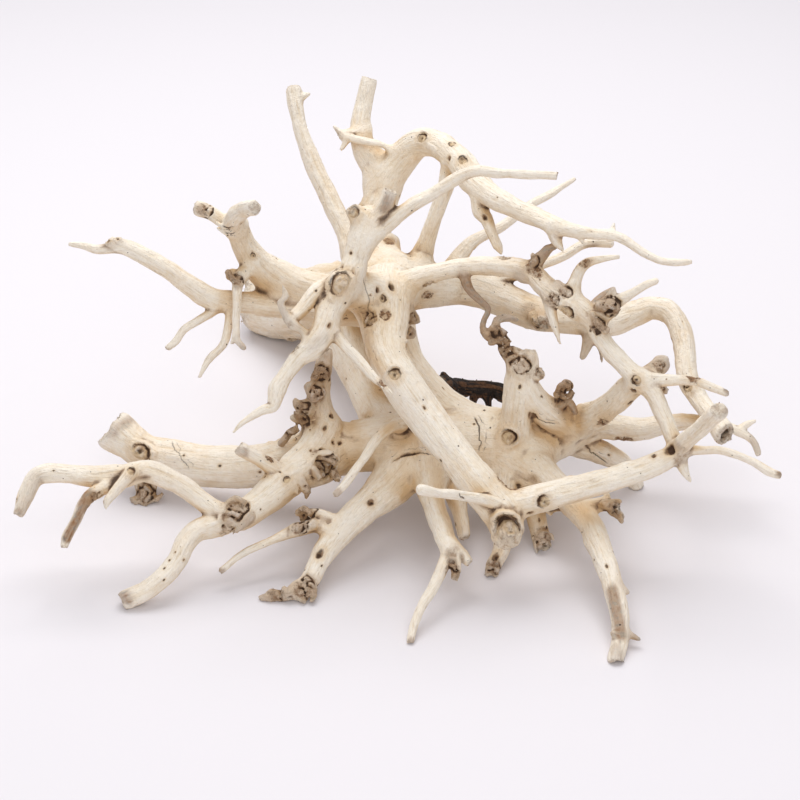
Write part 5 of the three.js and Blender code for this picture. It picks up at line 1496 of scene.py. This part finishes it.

# %% [markdown]
# ## The finish of bleached wood
# Bleached wood is cream, whitest where sun and water reached it, and tan in its hollows; the
# white is partly painted light and the tan partly painted shade. Fine fibres run along each
# limb, and knots, holes and stains are brown, while the dark inside holes, pits, knot grooves,
# cracks and clefts is painted shade. Everything is drawn by noise and by the values stored on
# the mesh. A small class lets the shader's maths be written as formulas, and one method adds
# any other node.

# %% Shader formulas
class Wire:
    """The output of a shader node, so that maths on it reads as a formula."""

    def __init__(self, tree, socket=None):
        self.tree = tree
        self.socket = socket

    def node(self, kind, settings=None, values=None, output=0):
        """Adds a node of this type: its settings first, then its sockets' values and links."""
        made = self.tree.nodes.new(kind)
        for name, value in (settings or {}).items():
            setattr(made, name, value)
        for key, value in (values or {}).items():
            if isinstance(value, Wire):
                self.tree.links.new(value.socket, made.inputs[key])
            else:
                made.inputs[key].default_value = value
        return Wire(self.tree, made.outputs[output] if made.outputs else None)

    def math(self, operation, *values):
        return self.node("ShaderNodeMath", {"operation": operation}, dict(enumerate(values)))

    def __add__(self, other):
        return self.math("ADD", self, other)

    def __radd__(self, other):
        return self.math("ADD", other, self)

    def __sub__(self, other):
        return self.math("SUBTRACT", self, other)

    def __rsub__(self, other):
        return self.math("SUBTRACT", other, self)

    def __mul__(self, other):
        return self.math("MULTIPLY", self, other)

    def __rmul__(self, other):
        return self.math("MULTIPLY", other, self)

    def __truediv__(self, other):
        return self.math("DIVIDE", self, other)

    def step(self, start, end):
        """0 before start and 1 after end, or the other way round, and smooth between."""
        return self.node("ShaderNodeMapRange", {"interpolation_type": "SMOOTHSTEP"},
                         {"Value": self, "From Min": start, "From Max": end})

    def between(self, least, most):
        return self.math("MINIMUM", self.math("MAXIMUM", self, least), most)

    def larger(self, other):
        return self.math("MAXIMUM", self, other)

    def peak(self, middle, width):
        """1 where the value is the middle one, and 0 beyond the width on each side."""
        apart = self.math("ABSOLUTE", self - middle)
        return apart.step(width, 0)


def colour(red, green, blue):
    """A colour as read off a screen, 0 to 255, as the linear one that shaders use."""
    return tuple(((c / 255 + 0.055) / 1.055)**2.4 for c in (red, green, blue)) + (1,)


def mix(one, other, factor):
    """One colour turned into the other by the factor."""
    return factor.node("ShaderNodeMix", {"data_type": "RGBA"}, {0: factor, 6: one, 7: other}, 2)


def new_finish(name):
    """An empty material, and a wire to start its nodes from."""
    finish = bpy.data.materials.new(name)
    finish.use_nodes = True
    finish.node_tree.nodes.clear()
    return finish, Wire(finish.node_tree)


print("a finish can now be written as formulas")

# %% [markdown]
# The first finish is for the wood. Two kinds of noise draw it: one is stretched along the
# grain, by the places stored on the mesh, and the other is lumpy and the same every way.

# %% The noises of the wood
finish, brush = new_finish("bleached_wood")


def stored(name, output=1):
    """A stored attribute: 1 is its vector, 2 its number."""
    return brush.node("ShaderNodeAttribute", {"attribute_name": name}, {}, output)


def parts(vector):
    """The three numbers of a vector."""
    return [brush.node("ShaderNodeSeparateXYZ", {}, {0: vector}, k) for k in range(3)]


def scaled(place_on, factors, shift):
    """Places multiplied and moved, so that a noise of size 1 fits them."""
    return brush.node("ShaderNodeVectorMath", {"operation": "MULTIPLY_ADD"},
                      {0: place_on, 1: factors, 2: (shift,) * 3})


grain_a, grain_b, grain_share = stored("grain_a"), stored("grain_b"), stored("share", 2)
solid = brush.node("ShaderNodeTexCoord", {}, {}, 3)


def grain_noise(width, length, detail=2.0, shift=0.0):
    """Noise stretched along the grain, for streaks of this width and length in mm."""
    one, other = (
        brush.node("ShaderNodeTexNoise", {}, {
            "Vector": scaled(place_on, (1 / width, 1 / width, 1 / length), shift),
            "Scale": 1.0, "Detail": detail})
        for place_on in (grain_a, grain_b))
    return one * grain_share + other * (1 - grain_share)


def lump_noise(size, detail=2.0, shift=0.0):
    """Noise of lumps of this size in mm, the same in every direction."""
    fitted = scaled(solid, (1 / (size * MM),) * 3, shift)
    return brush.node("ShaderNodeTexNoise", {}, {"Vector": fitted, "Scale": 1.0, "Detail": detail})


fibre = grain_noise(0.40, 6.0, 2.0)
streak = grain_noise(1.5, 22.0, 2.5, 31.0)
band = grain_noise(7.0, 48.0, 2.0, 57.0)
wrinkle = grain_noise(0.9, 4.5, 2.0, 5.0)
fleck_noise = grain_noise(0.8, 2.2, 2.0, 83.0)
blotch = lump_noise(15.0, 2.0)
mottle = lump_noise(2.4, 3.0, 13.0)
fine = lump_noise(0.8, 2.0, 29.0)
print("noises ready,", len(brush.tree.nodes), "nodes so far")

# %% [markdown]
# The colours go on in layers, each mixed over the last by a mask between 0 and 1. The wood
# turns from cream to tan where it is sheltered and where it faces down, partly weathering and
# partly painted shade, and to white where the sun reached it, partly bleaching and partly painted
# light. Fibres, flecks and stains come over that, and fibres darken more in hollows as painted
# shade.

# %% Colour the bleached skin
WHITE_CREAM = colour(252, 246, 237)
CREAM = colour(245, 233, 212)
TAN = colour(220, 189, 146)
FIBRE = colour(208, 180, 142)
BROWN = colour(146, 109, 76)
DARK_BROWN = colour(64, 44, 31)
PLUG = colour(216, 190, 150)
GREY_END = colour(220, 208, 190)
BLACK = colour(40, 33, 30)
RUST = colour(104, 74, 52)

hollow_here, stain_here, rot_here = parts(stored("tone"))
# Tan where the spot is hollow or faces down: partly weathering, partly painted shade.
sheltered_and_shaded = hollow_here * 1.05 + (blotch - 0.5) * 1.3 + (band - 0.5) * 0.5 + 0.02
wood_colour = mix(CREAM, TAN, sheltered_and_shaded.between(0, 1))
# White where the spot is open: partly bleaching, partly painted light.
sunned_and_lit = streak - 0.5 + (mottle - 0.5) * 0.8 + 0.42 - hollow_here * 1.1
wood_colour = mix(wood_colour, WHITE_CREAM, sunned_and_lit.between(0, 0.85))
# Fibres darken more in hollows, which is painted shade.
lines = fibre.step(0.50, 0.28) * (0.28 + hollow_here * 0.3) + streak.step(0.44, 0.28) * 0.26
wood_colour = mix(wood_colour, FIBRE, lines.between(0, 0.7))
flecks = fleck_noise.step(0.69, 0.76) * blotch.step(0.45, 0.62)
wood_colour = mix(wood_colour, BROWN, flecks * 0.7)
stained = (stain_here * (0.25 + streak * 0.7 + mottle * 0.8)).between(0, 1)
stain_colour = mix(BROWN, DARK_BROWN, mottle.step(0.5, 0.36) * 0.8)
wood_colour = mix(wood_colour, stain_colour, stained)
print("the bleached skin takes", len(brush.tree.nodes), "nodes so far")

# %% [markdown]
# Insects left round pin holes. A Voronoi pattern splits the wood into cells, and a share of
# the cells gets one dark dot of painted shade each, in a coarse pattern and a fine one.

# %% Drill the pin holes
def pin_holes(spacing, radius, share, shift):
    """Insect holes: round dots of this radius in mm, in a share of cells of this size."""
    fitted = scaled(solid, (1 / (spacing * MM),) * 3, shift)
    cells = [brush.node("ShaderNodeTexVoronoi", {}, {"Vector": fitted, "Scale": 1.0}, k)
             for k in (0, 1)]
    chance = parts(cells[1])[0]
    size = radius / spacing
    return cells[0].step(size, 0.6 * size) * chance.step(share, share - 0.01)


holes = pin_holes(5.5, 0.50, 0.20, 3.0).larger(pin_holes(3.2, 0.30, 0.22, 9.0))
print("pin holes drawn")

# %% [markdown]
# The scars are drawn in their own stored places. A ring gets a tan halo, a brown plug with
# growth rings and a dark heart, and a dark groove of painted shade that is deepest on one side,
# where the plug browns with painted shade too. Pits and holes are brown with painted shade
# inside, torn patches are brown, and cracks are thin dark lines of painted shade.

# %% Draw knots, pits, patches and cracks
scar_x, scar_y, scar_chance = parts(stored("scar_place"))
from_middle = brush.math("SQRT", scar_x * scar_x + scar_y * scar_y)
lean = scar_x / from_middle.larger(0.2)
ring, pit, patch = parts(stored("scar_kind"))
ragged = from_middle + (mottle - 0.5) * 0.6 + (fine - 0.5) * 0.2
halo = ragged.step(2.0, 0.9) * (ring * 0.45 + pit * 0.45 + patch * 0.4)
wood_colour = mix(wood_colour, TAN, halo)
plug = from_middle.step(0.80, 0.66) * ring
rings = brush.math("SINE", from_middle * 22 + mottle * 14)
# The plug browns towards its deep side, which is painted shade.
plug_tone = rings * 0.12 + mottle.step(0.58, 0.38) * 0.65 + lean * 0.15
wood_colour = mix(wood_colour, mix(PLUG, BROWN, plug_tone.between(0, 1)),
                  plug * (0.8 - stain_here * 0.8))
# The groove is painted shade, darkest on the side where it is deepest.
groove_width = 0.13 + lean * 0.10
groove = ragged.peak(0.80, groove_width) * ring * (0.45 + lean * 0.75).between(0, 1)
heart = ragged.step(0.34, 0.10) * ring * scar_chance.step(0.45, 0.6) * 0.8
wood_colour = mix(wood_colour, DARK_BROWN, groove.larger(heart).between(0, 0.95))
torn = ragged.step(1.05, 0.7) * patch * (0.35 + mottle.step(0.56, 0.42) * 0.6)
wood_colour = mix(wood_colour, BROWN, torn)
# Pits and holes are brown, and darker inside with painted shade.
deep = ragged.step(0.95, 0.45) * pit
wood_colour = mix(wood_colour, mix(BROWN, DARK_BROWN, mottle.step(0.62, 0.42)), deep * 0.85)
wood_colour = mix(wood_colour, DARK_BROWN, torn * fine.step(0.55, 0.42) * 0.7)
# Cracks are thin dark lines of painted shade in the splits.
apart = brush.math("ABSOLUTE", stored("split", 2) + (fine - 0.5) * 0.7)
crack = apart.step(0.55, 0.15) * stored("splitting", 2)
wood_colour = mix(wood_colour, DARK_BROWN, crack * 0.85)
# Pin holes are dark dots of painted shade.
wood_colour = mix(wood_colour, DARK_BROWN, holes * 0.9)
print("the scars take", len(brush.tree.nodes), "nodes so far")

# %% [markdown]
# Last come painted shade in the clefts, a little painted light on the ridges, grey broken
# faces and the black of rotten wood. The same masks drive a small bump for fibres too fine for
# the mesh, and how rough the surface is.

# %% Finish the wood
cut_here = stored("cut", 2)
cleft = stored("cleft", 2) + (fine - 0.5) * 0.10
# Clefts get painted shade, brown and then darker with depth.
wood_colour = mix(wood_colour, BROWN, cleft.step(0.15, 0.40) * 0.6)
wood_colour = mix(wood_colour, DARK_BROWN, cleft.step(0.29, 0.58) * 0.9)
# Ridges get a little painted light.
wood_colour = mix(wood_colour, WHITE_CREAM, cleft.step(-0.10, -0.40) * 0.25)

end_colour = mix(GREY_END, BROWN, mottle.step(0.56, 0.36) * 0.6 + fine.step(0.5, 0.35) * 0.3)
wood_colour = mix(wood_colour, end_colour, cut_here * 0.65)
rot_colour = mix(BLACK, RUST, streak.step(0.46, 0.62) * 0.9)
wood_colour = mix(wood_colour, rot_colour, rot_here.between(0, 1))

rough = 0.80 + (fine - 0.5) * 0.2 + cut_here * 0.1
relief_height = ((fibre - 0.5) * 0.26 + (streak - 0.5) * 0.75 + (fine - 0.5) * 0.32
                 + (wrinkle - 0.5) * 0.62
                 + (mottle - 0.5) * (0.70 + cut_here * 1.1 + rot_here * 1.6 + plug * 0.9)
                 - flecks * 0.12 - groove * 0.5 - deep * 0.35 - crack * 0.5 - holes * 0.4)
bumped = brush.node("ShaderNodeBump", {}, {"Height": relief_height, "Distance": MM,
                                           "Strength": 1.0})
shader = brush.node("ShaderNodeBsdfPrincipled", {}, {
    "Base Color": wood_colour, "Roughness": rough, "Normal": bumped,
    "Specular IOR Level": 0.35})
brush.node("ShaderNodeOutputMaterial", {}, {"Surface": shader})
mesh.materials.clear()
mesh.materials.append(finish)
print("the finish has", len(brush.tree.nodes), "nodes")

# %% [markdown]
# ## Splinters
# Where a limb broke or a knot tore, short stiff fibres still stand up from the wood. They are
# all alike and there are many, so one small shard is repeated by Geometry Nodes on points
# that were picked on the mesh. Each point carries the way its splinter leans, its length
# and how dark it is. They are separate slivers of the same wood.

# %% Pick where the splinters stand
SPLINTER_SEED = 91
ROTTEN_SPLINTERS = 70
LEAN_SPREAD = 0.45
SUNK_IN = 0.3
pick = np.random.default_rng(SPLINTER_SEED)
stands, leans, lengths, darks = [], [], [], []


def stand(candidates, way, count, shortest, longest, dark):
    """Picks points among the candidates and gives each a splinter that leans this way."""
    for i in pick.permutation(candidates)[:count]:
        lean_to = unit(way(i) + pick.normal(0, LEAN_SPREAD, 3))
        stands.append(points[i] - SUNK_IN * point_normals[i])
        leans.append(lean_to)
        lengths.append(pick.uniform(shortest, longest))
        darks.append(np.clip(dark + pick.normal(0, 0.2), 0, 1))


for name, which, *_ in BREAKS:
    end, radius, outward = limbs[name].end(which)
    near = (np.linalg.norm(points - end, axis=1) < 1.6 * radius) & (cut > 0.4)
    stand(np.flatnonzero(near), lambda k: 1.6 * outward + point_normals[k],
          int(2 + 0.9 * radius), 0.4, 0.6 + 0.07 * radius, 0.35)
for scar in scars:
    if scar.kind == "gnarl":
        near = np.linalg.norm(points - scar.middle, axis=1) < 0.9 * scar.radius
        stand(np.flatnonzero(near), lambda k: point_normals[k] + scar.along,
              int(1.6 * scar.radius), 0.4, 1.0, 0.45)
stand(np.flatnonzero(rot > 0.6), lambda k: point_normals[k], ROTTEN_SPLINTERS, 0.6, 1.4, 1.0)
print(len(stands), "splinters")

# %% [markdown]
# The picked points become a mesh of points alone, with the lean, length and darkness stored on
# it. Their finish is plain: grey, brown or dark, as each splinter says.

# %% Set out the points and colour the splinters
sliver_mesh = bpy.data.meshes.new("splinters")
sliver_mesh.from_pydata([tuple(p * MM) for p in stands], [], [])
for name, values in (("lean", leans), ("tall", lengths), ("dark", darks)):
    store(sliver_mesh, name, np.array(values), "POINT")
slivers = bpy.data.objects.new("splinters", sliver_mesh)
bpy.context.scene.collection.objects.link(slivers)

sliver_finish, sliver_brush = new_finish("splinters")
dark_here = sliver_brush.node("ShaderNodeAttribute", {"attribute_name": "dark"}, {}, 2)
sliver_colour = mix(GREY_END, BROWN, dark_here.step(0.2, 0.7))
sliver_colour = mix(sliver_colour, DARK_BROWN, dark_here.step(0.65, 1.0))
sliver_shader = sliver_brush.node("ShaderNodeBsdfPrincipled", {}, {
    "Base Color": sliver_colour, "Roughness": 0.85, "Specular IOR Level": 0.3})
sliver_brush.node("ShaderNodeOutputMaterial", {}, {"Surface": sliver_shader})
print(len(sliver_mesh.vertices), "points to stand splinters on")

# %% [markdown]
# The tree puts one four-sided shard on every point, turns it to its lean and scales it to its
# length. Its width varies by chance with a fixed seed. Realize Instances makes real faces of
# them, and the result is kept as a plain mesh.

# %% Repeat the shard on the points
INPUTS = {"Thickness": ("NodeSocketFloat", 0.42 * MM), "Seed": ("NodeSocketInt", 5)}
tree_nodes = bpy.data.node_groups.new("repeat_splinters", "GeometryNodeTree")
interface = tree_nodes.interface
interface.new_socket("Geometry", in_out="INPUT", socket_type="NodeSocketGeometry")
for name, (kind, value) in INPUTS.items():
    interface.new_socket(name, in_out="INPUT", socket_type=kind).default_value = value
interface.new_socket("Geometry", in_out="OUTPUT", socket_type="NodeSocketGeometry")
begin = Wire(tree_nodes)
geometry, thickness, seed = (begin.node("NodeGroupInput", {}, {}, k) for k in range(3))
lean_at = begin.node("GeometryNodeInputNamedAttribute", {"data_type": "FLOAT_VECTOR"},
                     {"Name": "lean"})
tall_at = begin.node("GeometryNodeInputNamedAttribute", {"data_type": "FLOAT"}, {"Name": "tall"})
turned = begin.node("FunctionNodeAlignRotationToVector", {"axis": "Z"}, {"Vector": lean_at})
shard = begin.node("GeometryNodeMeshCone", {}, {
    "Vertices": 4, "Radius Top": 0.2, "Radius Bottom": 1.0, "Depth": 1.0})
uneven = begin.node("FunctionNodeRandomValue", {"data_type": "FLOAT"},
                    {"Min": 0.6, "Max": 1.5, "Seed": seed}, 1)
width = thickness * uneven
size_at = begin.node("ShaderNodeCombineXYZ", {}, {0: width, 1: width * 0.6, 2: tall_at * MM})
placed_shards = begin.node("GeometryNodeInstanceOnPoints", {}, {
    "Points": geometry, "Instance": shard, "Rotation": turned, "Scale": size_at})
real = begin.node("GeometryNodeRealizeInstances", {}, {"Geometry": placed_shards})
dressed = begin.node("GeometryNodeSetMaterial", {}, {"Geometry": real, "Material": sliver_finish})
begin.node("NodeGroupOutput", {}, {0: dressed})

repeat = slivers.modifiers.new("repeat", "NODES")
repeat.node_group = tree_nodes
for item in interface.items_tree:
    if item.in_out == "INPUT" and item.name in INPUTS:
        repeat[item.identifier] = INPUTS[item.name][1]
bpy.context.view_layer.update()
made = slivers.evaluated_get(bpy.context.evaluated_depsgraph_get())
sliver_mesh = bpy.data.meshes.new_from_object(made)
slivers.modifiers.remove(repeat)
slivers.data = sliver_mesh
print("the splinters have", len(sliver_mesh.polygons), "faces")

# %% [markdown]
# ## Floor and light
# The root stands on a plain pale floor that runs on past the view. A wide soft light hangs
# above and a little behind, and a pale sky fills the shadows, as in a studio tent.

# %% Lay the floor
FLOOR_HALF = 4.0
FLOOR_COLOUR = colour(230, 227, 231)
floor_mesh = bpy.data.meshes.new("floor")
corners = [(-FLOOR_HALF, -FLOOR_HALF, 0), (FLOOR_HALF, -FLOOR_HALF, 0),
           (FLOOR_HALF, FLOOR_HALF, 0), (-FLOOR_HALF, FLOOR_HALF, 0)]
floor_mesh.from_pydata(corners, [], [(0, 1, 2, 3)])
floor = bpy.data.objects.new("floor", floor_mesh)
bpy.context.scene.collection.objects.link(floor)
floor_finish = bpy.data.materials.new("floor")
floor_finish.use_nodes = True
floor_shader = floor_finish.node_tree.nodes["Principled BSDF"]
floor_shader.inputs["Base Color"].default_value = FLOOR_COLOUR
floor_shader.inputs["Roughness"].default_value = 0.9
floor_shader.inputs["Specular IOR Level"].default_value = 0.1
floor_mesh.materials.append(floor_finish)
print("a floor", 2 * FLOOR_HALF, "m wide")

# %% [markdown]
# The key light stands behind the root and shines forwards, so soft shadows fall to the front.
# The fill is wider and weaker and brightens the sides that face the eye.

# %% Hang the lights
# For each light: where it is, the place that it faces, its width in m and its power in W.
LIGHTS = {"key": ((-0.12, 0.50, 1.35), (0, -0.9, 0), 1.2, 17.5),
          "fill": ((0.1, -1.8, 1.4), (0, -0.1, 0), 1.8, 15)}
SKY_COLOUR = colour(248, 246, 248)
SKY_STRENGTH = 0.52


def soft_light(name, location, aim, size, power):
    """A square light that faces a place on the floor."""
    lamp = bpy.data.lights.new(name, "AREA")
    lamp.size = size
    lamp.energy = power
    made = bpy.data.objects.new(name, lamp)
    made.location = location
    made.rotation_euler = (Vector(aim) - Vector(location)).to_track_quat("-Z", "Y").to_euler()
    bpy.context.scene.collection.objects.link(made)


for name, settings in LIGHTS.items():
    soft_light(name, *settings)
world = bpy.data.worlds.new("studio")
world.use_nodes = True
sky = world.node_tree.nodes["Background"]
sky.inputs["Color"].default_value = SKY_COLOUR
sky.inputs["Strength"].default_value = SKY_STRENGTH
bpy.context.scene.world = world
bpy.context.scene.view_settings.view_transform = "Standard"
print(len(LIGHTS), "lights under a sky of", SKY_STRENGTH)

# %% [markdown]
# ## Hand over
# The wood and its splinters ride on the one body and stand for the solid root.

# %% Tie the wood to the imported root
for piece in (wood, slivers):
    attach(piece, "root")
    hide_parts("driftwood_root")
